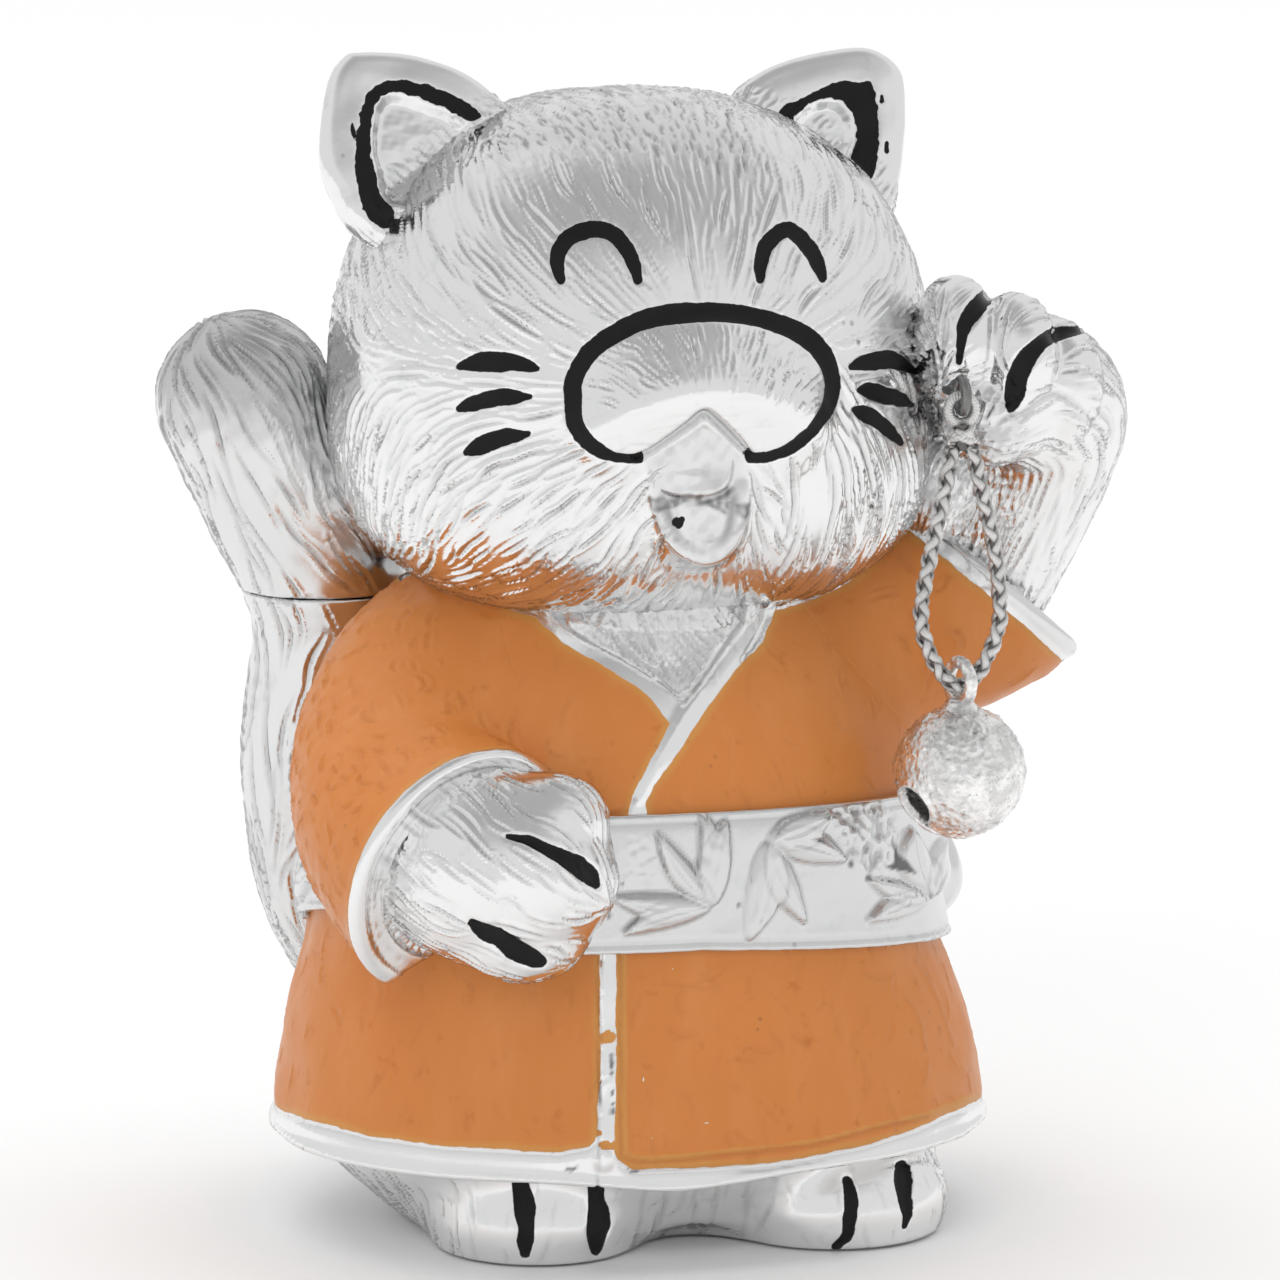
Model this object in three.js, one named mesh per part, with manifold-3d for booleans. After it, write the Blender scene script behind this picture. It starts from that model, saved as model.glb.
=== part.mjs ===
// A seated lucky cat figurine: plated hollow castings with an enamelled coat, and a jingle bell on a braided cord.
// Millimetres, +Z up, the cat faces -Y, the sole lies on Z = 0 and the plane of symmetry of the face is X = 0.
import * as THREE from "three";
import { mergeVertices } from "three/addons/utils/BufferGeometryUtils.js";
import Module from "manifold-3d";

// ---------------------------------------------------------------- driving dimensions
const GAP = 0.3; // solder or clearance gap between neighbouring pieces
const WALL = 2.2; // wall of the hollow castings
const NECK_Z = 63.4; // plane where the upper casting sits on the lower one
const SEAM_TAIL_Z = 61.2; // the same seam where it crosses the tail

const HEAD = { x: 0, y: 0, z: 83, a: 29.6, front: 29, back: 26, up: 30, down: 21.8, n: 2.4 };
const MUZZLE = { z: 88.2, y: -26.8, a: 13.8, b: 6.2, c: 8.0 };
const TONGUE = { z: 76.2, y: -25.6, a: 5.7, b: 5.2, c: 6.2 };
const NECK_R = 14.2; // spigot of the body inside the neck of the head

// rings of the coat: height, half width, half depth
const COAT = [
  [8, 36.2, 30.2], [11, 35.9, 30.0], [16, 35.3, 29.4], [22, 34.4, 28.6], [28, 33.2, 27.7], [34, 32.2, 27.1],
  [40, 31.8, 26.9], [45, 31.4, 26.6], [50, 30.0, 25.6], [54, 28.1, 24.2], [58, 25.4, 22.2], [61, 22.6, 20.2], [63.4, 20.0, 18.2],
];
const COAT_N = 2.15;
const OBI = { low: 30.9, high: 44.3, tilt: 0.09, out: 1.25 }; // band heights at the front; it sinks towards the back
const BOW = { out: 6.4, half: 38.2, low: 26.0, high: 39.5 };

const EAR = { thick: 4.6, recess: 1.3 };
// limbs: rows of x, y, z, radius
const SLEEVE_R = [[-17, 4, 57.5, 8], [-21.9, -2, 54, 9.7], [-25.1, -9, 48.4, 11.0], [-25.6, -17, 43, 11.9], [-23.6, -25, 39.2, 12.6]];
const CUFF_R = { c: [-23.6, -24.6, 38.4], n: [0.55, -0.76, -0.33], wall: 1.5 };
const PAW_R = [[-26.2, -13, 44.4, 6.8], [-24.2, -20, 41.6, 8.5], [-20.4, -26, 40.8, 9.8], [-18.2, -28.0, 40.4, 9.2]];
const SLEEVE_L = [[15, 0, 57, 8.5], [25, -1.5, 57, 10.2], [32.5, -3, 58.6, 11.0], [38.5, -4, 61.5, 11.4]];
const CUFF_L = { c: [36.5, -3.4, 60.6], n: [0.46, -0.05, 0.885], wall: 1.5 };
const ARM = [[33, -2.4, 57.4, 6.6], [36, -4, 62, 7.5], [37.4, -6.6, 69, 7.9], [39.2, -10.2, 76.4, 7.8], [39.2, -13.4, 81.6, 8.0], [35, -17.8, 84.4, 7.4], [31, -21.6, 82.6, 5.2]];
const TAIL = [[-8, 26, 14.5, 5.4], [-17.5, 27, 17.5, 5.9], [-25.6, 24.6, 28, 6.1], [-28.8, 21.6, 43, 6.0], [-27.2, 20, 56, 6.6], [-27.4, 19.4, 63, 7.6], [-31, 18.6, 72, 8.6], [-35, 18, 81, 8.9]];
const FOOT = { x: 16, y: -14.2, z: 3.2, a: 11, b: 11.6, c: 8.2 };
const BASE = { a: 28.5, b: 22.5, n: 2.4 };
const PLATE = { a: 21, b: 13.5, t: 1.6, y: 1.5, screw: 15 };

// bell on its cord
const EYE = [25.9, -28.6, 85.4]; // centre of the eyelet on the finger tip
const EYE_R = 1.55, EYE_WIRE = 0.5;
const BECKET_R = 1.35, BECKET_WIRE = 0.65; // loop of cord tied through the eyelet
const TIE_R = 1.45; // wrapped tie under the eyelet
const CORD_D = 2.1;
const BELL = [25.9, -28.6, 48.4];
const BELL_R = 6.45, BELL_T = 0.6, PELLET_R = 1.9;
const LOOP = { z: 57.2, r: 1.95, wire: 0.5 };

// ---------------------------------------------------------------- tools
const wasm = await Module();
wasm.setup();
const V3 = (a) => new THREE.Vector3(a[0], a[1], a[2]);

function solid(geometry) {
  let g = geometry.clone();
  for (const k of Object.keys(g.attributes)) if (k !== "position") g.deleteAttribute(k);
  g = mergeVertices(g, 1e-4);
  const build = (tri) => new wasm.Manifold(new wasm.Mesh({ numProp: 3, vertProperties: new Float32Array(g.attributes.position.array), triVerts: tri }));
  const keep = [];
  const idx = g.index.array;
  for (let i = 0; i < idx.length; i += 3)
    if (idx[i] !== idx[i + 1] && idx[i + 1] !== idx[i + 2] && idx[i] !== idx[i + 2]) keep.push(idx[i], idx[i + 1], idx[i + 2]);
  const tri = new Uint32Array(keep);
  const m = build(tri);
  if (m.volume() >= 0) return m;
  for (let i = 0; i < tri.length; i += 3) [tri[i + 1], tri[i + 2]] = [tri[i + 2], tri[i + 1]];
  return build(tri);
}
const add = (...s) => s.reduce((a, b) => a.add(b));
const cut = (a, ...s) => s.reduce((p, b) => p.subtract(b), a);
const both = (a, b) => a.intersect(b);

const box = (x0, y0, z0, x1, y1, z1) =>
  solid(new THREE.BoxGeometry(x1 - x0, y1 - y0, z1 - z0).translate((x0 + x1) / 2, (y0 + y1) / 2, (z0 + z1) / 2));
const ellipsoid = (c, r, w = 20, h = 12, q = null) => {
  const g = new THREE.SphereGeometry(1, w, h).rotateX(Math.PI / 2).scale(r[0], r[1], r[2]);
  if (q) g.applyQuaternion(q);
  return solid(g.translate(c[0], c[1], c[2]));
};
const rod = (a, b, r0, r1, n = 16) => {
  const d = V3(b).sub(V3(a));
  const g = new THREE.CylinderGeometry(r1, r0, d.length(), n).translate(0, d.length() / 2, 0);
  g.applyQuaternion(new THREE.Quaternion().setFromUnitVectors(new THREE.Vector3(0, 1, 0), d.clone().normalize()));
  return solid(g.translate(a[0], a[1], a[2]));
};
const spline = (v, t) => {
  const n = v.length - 1, i = Math.min(Math.floor(t * n), n - 1), f = t * n - i;
  const p0 = v[Math.max(i - 1, 0)], p1 = v[i], p2 = v[i + 1], p3 = v[Math.min(i + 2, n)];
  return 0.5 * (2 * p1 + (p2 - p0) * f + (2 * p0 - 5 * p1 + 4 * p2 - p3) * f * f + (3 * p1 - p0 - 3 * p2 + p3) * f * f * f);
};

// a turned profile bent along a path: rows of x, y, z, radius, with rounded ends; grow swells it
function limb(rows, grow = 0, around = 14, steps = 9, caps = 3) {
  const curve = new THREE.CatmullRomCurve3(rows.map(V3), false, "catmullrom", 0.5);
  const length = curve.getLength();
  const rad = rows.map((r) => r[3] + grow);
  const prof = [];
  const r0 = rad[0], r1 = rad[rad.length - 1];
  for (let i = 0; i < caps; i++) { const a = (i / caps) * Math.PI / 2; prof.push([r0 * Math.sin(a), -r0 * Math.cos(a)]); }
  for (let i = 0; i <= steps; i++) prof.push([spline(rad, curve.getUtoTmapping(i / steps)), (i / steps) * length]);
  for (let i = 1; i <= caps; i++) { const a = (i / caps) * Math.PI / 2; prof.push([i === caps ? 0 : r1 * Math.cos(a), length + r1 * Math.sin(a)]); }
  const g = new THREE.LatheGeometry(prof.map((p) => new THREE.Vector2(p[0], p[1])), around);
  const fr = curve.computeFrenetFrames(steps, false);
  const pos = g.attributes.position, v = new THREE.Vector3();
  for (let i = 0; i < pos.count; i++) {
    v.fromBufferAttribute(pos, i);
    const s = v.y, k = Math.min(Math.max(Math.round((s / length) * steps), 0), steps);
    const c = curve.getPointAt(Math.min(Math.max(s / length, 0), 1));
    const over = s < 0 ? s : s > length ? s - length : 0;
    c.addScaledVector(fr.tangents[k], over).addScaledVector(fr.normals[k], v.x).addScaledVector(fr.binormals[k], v.z);
    pos.setXYZ(i, c.x, c.y, c.z);
  }
  return solid(g);
}

// rings of height, half width, half depth as a lathe whose turns are superellipses; open rings close on the axis
function rings(list, n, around = 32, grow = 0) {
  const g = new THREE.LatheGeometry(list.map((r, i) => new THREE.Vector2(r[1] === 0 ? 0 : 1 + i * 1e-3, r[0])), around);
  const pos = g.attributes.position, m = list.length;
  for (let i = 0; i <= around; i++)
    for (let j = 0; j < m; j++) {
      const f = ((i % around) / around) * 2 * Math.PI, c = Math.cos(f), s = Math.sin(f);
      const [z, a, b] = list[j];
      if (a === 0) { pos.setXYZ(i * m + j, 0, 0, z); continue; }
      const k = 1 / Math.pow(Math.pow(Math.abs(c), n) + Math.pow(Math.abs(s), n), 1 / n);
      pos.setXYZ(i * m + j, (a + grow) * c * k, (b + grow) * s * k, z);
    }
  return solid(g);
}
// a plate whose outline is a superellipse
const disc = (a, b, n, z0, z1, y = 0, around = 32) =>
  rings([[z0, 0, 0], [z0, a, b], [z1, a, b], [z1, 0, 0]], n, around).translate([0, y, 0]);

// everything on the side of a plane that its normal points to
function beyond(c, n, size = 80) {
  const g = new THREE.BoxGeometry(size, size, size).translate(0, 0, size / 2);
  g.applyQuaternion(new THREE.Quaternion().setFromUnitVectors(new THREE.Vector3(0, 0, 1), V3(n).normalize()));
  return solid(g.translate(c[0], c[1], c[2]));
}
const along = (c, n, d) => { const u = V3(n).normalize(); return [c[0] + u.x * d, c[1] + u.y * d, c[2] + u.z * d]; };

const group = new THREE.Group();
function node(name, s, color, roughness, metalness) {
  const m = s.simplify(0.03).getMesh();
  const n = m.numProp, v = new Float32Array(m.numVert * 3);
  for (let i = 0; i < m.numVert; i++) v.set(m.vertProperties.subarray(i * n, i * n + 3), i * 3);
  const g = new THREE.BufferGeometry().setAttribute("position", new THREE.BufferAttribute(v, 3)).setIndex(new THREE.BufferAttribute(new Uint32Array(m.triVerts), 1));
  g.computeVertexNormals();
  const mesh = new THREE.Mesh(g, new THREE.MeshStandardMaterial({ color, roughness, metalness }));
  mesh.name = name;
  group.add(mesh);
}
const CHROME = 0xd6d8da, COATED = 0xc98249, STEEL = 0xb4b6b8, CORDED = 0xcfcac2;

// ---------------------------------------------------------------- coat and sash
const coatRings = (grow, z0, z1) => {
  const at = (z) => {
    for (let i = 0; i < COAT.length - 1; i++) {
      const [p, q] = [COAT[i], COAT[i + 1]];
      if (z <= q[0] + 1e-9) { const t = (z - p[0]) / (q[0] - p[0]); return [z, p[1] + (q[1] - p[1]) * t, p[2] + (q[2] - p[2]) * t]; }
    }
    return COAT[COAT.length - 1];
  };
  const list = [at(z0), ...COAT.filter((r) => r[0] > z0 + 0.01 && r[0] < z1 - 0.01), at(z1)];
  return list.map((r) => [r[0], r[1] + grow, r[2] + grow]);
};
const coatSolid = (grow, z0 = 8, z1 = NECK_Z) => {
  const l = coatRings(grow, z0, z1);
  return rings([[l[0][0], 0, 0], ...l, [l[l.length - 1][0], 0, 0]], COAT_N);
};
const outer = coatRings(0, 8, NECK_Z), inner = coatRings(-WALL, 8, 61).filter((r, i, l) => i % 2 === 0 || i === l.length - 1);
let body = rings([...outer, [NECK_Z, NECK_R, NECK_R], [68, NECK_R, NECK_R], [68, NECK_R - 2, NECK_R - 2], [61, NECK_R - 2, NECK_R - 2], ...inner.reverse(), outer[0]], COAT_N);

const coatGap = coatSolid(GAP, 8, NECK_Z).translate([0, 0, 0]);
const tilted = (z) => { // everything above the tilted plane that passes z at the front of the sash
  const n = [0, OBI.tilt, 1];
  return beyond([0, -27, z], n, 160);
};
const obi = both(cut(coatSolid(OBI.out, 14, 60), coatSolid(GAP, 12, 62)), cut(tilted(OBI.low), tilted(OBI.high)));
const obiGap = both(coatSolid(OBI.out + GAP, 14, 60), cut(tilted(OBI.low - GAP), tilted(OBI.high + GAP)));

// bow of the sash, on the back
const bowBand = cut(coatSolid(BOW.out, 20, 46), coatSolid(OBI.out + GAP, 18, 48));
const bowBox = add(
  ellipsoid([22, 17, (BOW.low + BOW.high) / 2], [BOW.half - 22, 19, 6.8], 16, 8),
  ellipsoid([-6, 28, (BOW.low + BOW.high) / 2], [9.5, 14, 6.2], 16, 8),
  box(-7, 22, BOW.low + 1.2, 14, 36, BOW.high - 1.2),
);
const bowLoops = both(both(bowBand, bowBox), box(-60, 3, 10, 60, 60, 60));
const bowKnot = ellipsoid([0, 30.6, 33], [5.6, 5.4, 7.4], 12, 7);
const tail = limb(TAIL, 0, 14, 14);
const tailGap = limb(TAIL, GAP, 14, 14);
const bow = cut(add(bowLoops, cut(bowKnot, coatSolid(OBI.out + GAP, 18, 48))), tailGap);

// ---------------------------------------------------------------- head
function headSolid(grow, w = 32, h = 20) {
  const g = new THREE.SphereGeometry(1, w, h).rotateX(Math.PI / 2);
  const pos = g.attributes.position;
  for (let i = 0; i < pos.count; i++) {
    const x = pos.getX(i), y = pos.getY(i), z = pos.getZ(i);
    const a = HEAD.a + grow, b = (y < 0 ? HEAD.front : HEAD.back) + grow, c = (z > 0 ? HEAD.up : HEAD.down) + grow;
    const k = 1 / Math.pow(Math.pow(Math.abs(x) / a, HEAD.n) + Math.pow(Math.abs(y) / b, HEAD.n) + Math.pow(Math.abs(z) / c, HEAD.n), 1 / HEAD.n);
    pos.setXYZ(i, HEAD.x + x * k, HEAD.y + y * k, HEAD.z + z * k);
  }
  return solid(g);
}
const below = box(-60, -60, -10, 60, 60, NECK_Z + GAP);
const mouth = add(
  ellipsoid([0, MUZZLE.y, MUZZLE.z], [MUZZLE.a, MUZZLE.b, MUZZLE.c], 16, 8),
  ellipsoid([0, TONGUE.y, TONGUE.z], [TONGUE.a, TONGUE.b, TONGUE.c], 14, 8),
);
const headOuter = headSolid(0);
const head = cut(add(headOuter, mouth), headSolid(-WALL, 18, 11), below, rings([[58, 0, 0], [58, NECK_R + GAP, NECK_R + GAP], [72, NECK_R + GAP, NECK_R + GAP], [72, 0, 0]], COAT_N));
const headGap = headSolid(GAP);

// ears: a rounded leaf with a hollowed front, seated on the head
function ear(side) {
  const x = new THREE.Vector3(0.73, -0.413, -0.54), y = new THREE.Vector3(0.679, 0.405, 0.611);
  const z = new THREE.Vector3().crossVectors(x, y).normalize();
  const turn = new THREE.Matrix4().makeBasis(x, y, z).setPosition(19.5, 0.2, 106.6);
  const leaf = (k, lift) => {
    const s = new THREE.Shape();
    s.moveTo(-9.6 * k, -5 * k + lift);
    s.bezierCurveTo(-9.4 * k, 4 * k + lift, -7 * k, 11.4 * k + lift, -2 * k, 13.4 * k + lift);
    s.bezierCurveTo(0.6 * k, 14.3 * k + lift, 2.8 * k, 13.8 * k + lift, 4.2 * k, 12 * k + lift);
    s.bezierCurveTo(8 * k, 7 * k + lift, 9.4 * k, 0 * k + lift, 9.4 * k, -5 * k + lift);
    s.closePath();
    return s;
  };
  const plate = new THREE.ExtrudeGeometry(leaf(0.95, 0.3), { depth: EAR.thick - 1.6, bevelEnabled: true, bevelThickness: 0.8, bevelSize: 0.7, bevelSegments: 2, curveSegments: 5 }).translate(0, 0, -EAR.thick + 0.8);
  const dish = new THREE.ExtrudeGeometry(leaf(0.71, 0.5), { depth: 3, bevelEnabled: false, curveSegments: 5 }).translate(0, 0, -EAR.recess);
  const place = (g) => { g.applyMatrix4(turn); return solid(g); };
  let s = cut(place(plate), place(dish), headGap);
  const parts = s.decompose().sort((p, q) => q.volume() - p.volume());
  s = parts[0];
  return side > 0 ? s : s.mirror([1, 0, 0]);
}

// ---------------------------------------------------------------- feet, base plate and screws
const footPair = add(
  ellipsoid([-FOOT.x, FOOT.y, FOOT.z], [FOOT.a, FOOT.b, FOOT.c], 18, 10),
  ellipsoid([FOOT.x, FOOT.y, FOOT.z], [FOOT.a, FOOT.b, FOOT.c], 18, 10),
  rings([[0, 0, 0], [0, BASE.a - 4.5, BASE.b - 3.5], [6.2, BASE.a, BASE.b], [20, BASE.a, BASE.b], [20, 0, 0]], BASE.n),
);
const under = both(footPair, box(-60, -60, 0, 60, 60, 8 - GAP));
const innerList = coatRings(-WALL - GAP, 8, 13).map((r) => r);
const plugOut = rings([[7, 0, 0], [7, innerList[0][1], innerList[0][2]], ...innerList, [13, 0, 0]], COAT_N);
const plugIn = rings([[8, 0, 0], ...coatRings(-WALL - 2.4, 8, 14), [14, 0, 0]], COAT_N);
const plug = cut(both(plugOut, box(-60, -60, 6.2, 60, 60, 13)), plugIn);
const floorPlate = both(disc(33.6, 27.6, 2.15, 6.2, 8 - GAP), box(-60, -60, 6.2, 60, 60, 8 - GAP));
const skirtFloor = both(floorPlate, add(footPair, rings([[5, 0, 0], [5, innerList[0][1], innerList[0][2]], [9, innerList[0][1], innerList[0][2]], [9, 0, 0]], COAT_N)));
const bosses = add(
  rod([-PLATE.screw, PLATE.y, PLATE.t + GAP], [-PLATE.screw, PLATE.y, 7], 2.6, 2.6),
  rod([PLATE.screw, PLATE.y, PLATE.t + GAP], [PLATE.screw, PLATE.y, 7], 2.6, 2.6),
);
const pit = disc(PLATE.a + GAP, PLATE.b + GAP, 2.2, -1, PLATE.t + GAP, PLATE.y);
const cellar = disc(PLATE.a - 1.6, PLATE.b - 1.6, 2.2, 0, 6.2, PLATE.y);
const screwHole = (x) => rod([x, PLATE.y, -1], [x, PLATE.y, 5.6], 1.0 + GAP, 1.0 + GAP);
let feet = cut(add(cut(add(under, skirtFloor, plug), pit, cellar), bosses), screwHole(-PLATE.screw), screwHole(PLATE.screw));
const screw = (x) => {
  const p = [[0, 0.15], [2.0, 0.15], [2.0, 0.45], [1.0, 1.4], [1.0, 5.2], [0, 5.2]].map((q) => new THREE.Vector2(q[0], q[1]));
  const s = solid(new THREE.LatheGeometry(p, 16).rotateX(Math.PI / 2).translate(x, PLATE.y, 0));
  return cut(s, box(x - 1.5, PLATE.y - 0.25, -1, x + 1.5, PLATE.y + 0.25, 0.6));
};
const sink = (x) => {
  const p = [[0, -0.2], [2.0 + GAP, -0.2], [2.0 + GAP, 0.45 + 0.12], [1.0 + GAP, 1.4 + 0.12], [1.0 + GAP, 4], [0, 4]].map((q) => new THREE.Vector2(q[0], q[1]));
  return solid(new THREE.LatheGeometry(p, 16).rotateX(Math.PI / 2).translate(x, PLATE.y, 0));
};
const plate = cut(disc(PLATE.a, PLATE.b, 2.2, 0, PLATE.t, PLATE.y), sink(-PLATE.screw), sink(PLATE.screw));

// ---------------------------------------------------------------- resting arm
const coatCut = add(coatSolid(GAP, 8, NECK_Z), obiGap);
const tailCut = tailGap;
const cuffPlaneR = beyond(CUFF_R.c, CUFF_R.n);
const sleeveRHollow = both(limb(SLEEVE_R, -CUFF_R.wall, 14, 8), beyond(along(CUFF_R.c, CUFF_R.n, -19), CUFF_R.n));
const sleeveR = cut(limb(SLEEVE_R, 0, 14, 8), cuffPlaneR, sleeveRHollow, coatCut, headGap);
const pawR0 = add(
  limb(PAW_R, 0, 14, 7),
  ellipsoid([-15.6, -29.8, 45.8], [5.6, 4.9, 4.6], 12, 7),
  ellipsoid([-15.0, -30.6, 39.4], [5.6, 4.9, 4.4], 12, 7),
  ellipsoid([-18.4, -30.2, 34.2], [6.0, 4.8, 4.1], 12, 7),
);
const sleeveRSkin = cut(cut(limb(SLEEVE_R, 2, 14, 8), beyond(along(CUFF_R.c, CUFF_R.n, GAP), CUFF_R.n)), both(limb(SLEEVE_R, -CUFF_R.wall - GAP, 14, 8), beyond(along(CUFF_R.c, CUFF_R.n, -19 + GAP), CUFF_R.n)));
const pawR = cut(pawR0, sleeveRSkin, coatCut);

// ---------------------------------------------------------------- raised arm
const cuffPlaneL = beyond(CUFF_L.c, CUFF_L.n);
const sleeveLHollow = both(limb(SLEEVE_L, -CUFF_L.wall, 14, 8), beyond(along(CUFF_L.c, CUFF_L.n, -9), CUFF_L.n));
const sleeveL = cut(limb(SLEEVE_L, 0, 14, 8), cuffPlaneL, sleeveLHollow, coatCut, headGap);
const arm0 = add(
  limb(ARM, 0, 14, 11),
  ellipsoid([27.8, -20.4, 89.4], [4.2, 6.0, 6.7], 12, 7),
  ellipsoid([33.2, -22, 88.2], [4.3, 5.6, 6.2], 12, 7),
  ellipsoid([38.2, -19.8, 85], [4.6, 5.6, 6.4], 12, 7),
);
const sleeveLSkin = cut(cut(limb(SLEEVE_L, 2, 14, 8), beyond(along(CUFF_L.c, CUFF_L.n, GAP), CUFF_L.n)), both(limb(SLEEVE_L, -CUFF_L.wall - GAP, 14, 8), beyond(along(CUFF_L.c, CUFF_L.n, -9 + GAP), CUFF_L.n)));
const pin0 = [EYE[0], EYE[1], EYE[2]], pin1 = [EYE[0], EYE[1] + 8, EYE[2]];
const pinDir = V3(pin1).sub(V3(pin0)).normalize();
const pinAt = (d) => [pin0[0] + pinDir.x * d, pin0[1] + pinDir.y * d, pin0[2] + pinDir.z * d];
const arm = cut(arm0, sleeveLSkin, coatCut, headGap, rod(pinAt(0), pinAt(8), 0.55 + GAP, 0.55 + GAP, 12));

// eyelet: a wire ring whose shank is pressed into the finger tip; the ring stands upright, its bore across X
const ringAcross = (c, R, r, axis, a = 16, t = 8) => {
  const g = new THREE.TorusGeometry(R, r, t, a);
  if (axis === "x") g.rotateY(Math.PI / 2);
  if (axis === "y") g.rotateX(Math.PI / 2);
  return solid(g.translate(c[0], c[1], c[2]));
};
const eyeletRing = solid(new THREE.TorusGeometry(EYE_R, EYE_WIRE, 6, 14).applyQuaternion(
  new THREE.Quaternion().setFromUnitVectors(new THREE.Vector3(0, 0, 1), new THREE.Vector3(-pinDir.y, pinDir.x, 0).normalize())).translate(EYE[0], EYE[1], EYE[2]));
const eyelet = add(eyeletRing, rod(pinAt(EYE_R), pinAt(7.4), 0.55, 0.55, 10));

// ---------------------------------------------------------------- tail, in two castings that meet at the seam
const above = (z) => box(-80, -80, z, 80, 80, 200);
const peg = (r, z1) => rod([-27.3, 19.7, SEAM_TAIL_Z - 6], [-27.3, 19.7, z1], r, r, 14);
const tailLow = cut(both(tail, box(-80, -80, 0, 80, 80, SEAM_TAIL_Z)), coatCut, limb(SLEEVE_R, GAP, 14, 8), peg(2.2 + GAP, SEAM_TAIL_Z + 2));
const tailUp = add(cut(both(tail, above(SEAM_TAIL_Z + GAP)), headGap), both(peg(2.2, SEAM_TAIL_Z + 4), above(SEAM_TAIL_Z - 5.4)));

// ---------------------------------------------------------------- bell, cord and its tie
const pinSide = new THREE.Vector3(pinDir.x, pinDir.y, 0).normalize();
const becketCentre = [EYE[0], EYE[1], EYE[2] - BECKET_R];
const becket = solid(new THREE.TorusGeometry(BECKET_R, BECKET_WIRE, 6, 14).applyQuaternion(
  new THREE.Quaternion().setFromUnitVectors(new THREE.Vector3(0, 0, 1), pinSide)).translate(...becketCentre));
const tieZ = becketCentre[2] - BECKET_R - BECKET_WIRE - 0.7;
const tie = ellipsoid([EYE[0], EYE[1], tieZ], [TIE_R, TIE_R, TIE_R], 12, 8);
const knot = add(becket, tie);

const cordTop = tieZ - TIE_R * 0.75, cordLow = LOOP.z + LOOP.r - 2 * LOOP.wire - GAP - CORD_D / 2;
const cordPath = new THREE.CatmullRomCurve3([
  [-1.0, cordTop], [-1.7, cordTop - 4.2], [-3.0, cordTop - 10], [-4.0, cordTop - 15.5], [-3.6, cordLow + 4.6], [-1.9, cordLow + 1.3],
  [0, cordLow],
  [1.9, cordLow + 1.3], [3.7, cordLow + 5], [4.0, cordTop - 15.5], [3.4, cordTop - 10], [2.0, cordTop - 4.2], [1.1, cordTop],
].map((p) => new THREE.Vector3(EYE[0] + p[0], EYE[1], p[1])));
const ngon = new THREE.Shape(Array.from({ length: 8 }, (_, i) => new THREE.Vector2((CORD_D / 2) * Math.cos((i + 0.5) * Math.PI / 4), (CORD_D / 2) * Math.sin((i + 0.5) * Math.PI / 4))));
const cord = cut(solid(new THREE.ExtrudeGeometry(ngon, { steps: 26, bevelEnabled: false, extrudePath: cordPath })), ellipsoid([EYE[0], EYE[1], tieZ], [TIE_R + GAP, TIE_R + GAP, TIE_R + GAP], 12, 8));

// halves of the bell, crimped at the equator
function cup(sign) {
  const arc = (r, n, from = 0) => Array.from({ length: n + 1 }, (_, i) => { const a = from + (i / n) * (Math.PI / 2 - from); return [r * Math.sin(a), r * Math.cos(a)]; });
  const lip = [[BELL_R + 0.08, GAP / 2], [BELL_R + 0.08, 0.6]];
  const out = arc(BELL_R, 5).map((p) => [p[0], Math.max(p[1], 0.6)]);
  const inn = arc(BELL_R - BELL_T, 5).map((p) => [p[0], Math.max(p[1], GAP / 2)]);
  const prof = [...out, lip[1], lip[0], ...inn.reverse()];
  const pts = prof.map((p) => new THREE.Vector2(p[0], sign * p[1]));
  return solid(new THREE.LatheGeometry(pts, 18).rotateX(Math.PI / 2).translate(...BELL));
}
const loopC = [BELL[0], BELL[1], LOOP.z];
const loopStem = BELL_R - 0.2;
const bellLoop = cut(add(ringAcross(loopC, LOOP.r, LOOP.wire, "x", 14, 6), rod([BELL[0], BELL[1], BELL[2] + BELL_R - BELL_T - 1.0], [BELL[0], BELL[1], LOOP.z - LOOP.r], 0.6, 0.6, 10)));
const bellTop = cut(cup(1), rod([BELL[0], BELL[1], BELL[2] + 3], [BELL[0], BELL[1], BELL[2] + 9], 0.6 + GAP, 0.6 + GAP, 12));
const slotDir = new THREE.Vector3(-0.9, -0.43, 0).normalize();
const slotTurn = Math.atan2(slotDir.y, slotDir.x);
const slot = solid(new THREE.BoxGeometry(BELL_R * 2 - 1.2, 1.1, 5).rotateZ(slotTurn).translate(BELL[0], BELL[1], BELL[2] - BELL_R + 0.9));
const slotEnd = (s) => ellipsoid([BELL[0] + s * slotDir.x * 5.9, BELL[1] + s * slotDir.y * 5.9, BELL[2] - 3.0], [1.6, 1.6, 1.5], 12, 8);
const bellLow = cut(cup(-1), slot, slotEnd(1), slotEnd(-1));
const pellet = ellipsoid([BELL[0], BELL[1], BELL[2] - BELL_R + BELL_T + PELLET_R + GAP], [PELLET_R, PELLET_R, PELLET_R], 14, 10);

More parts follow.
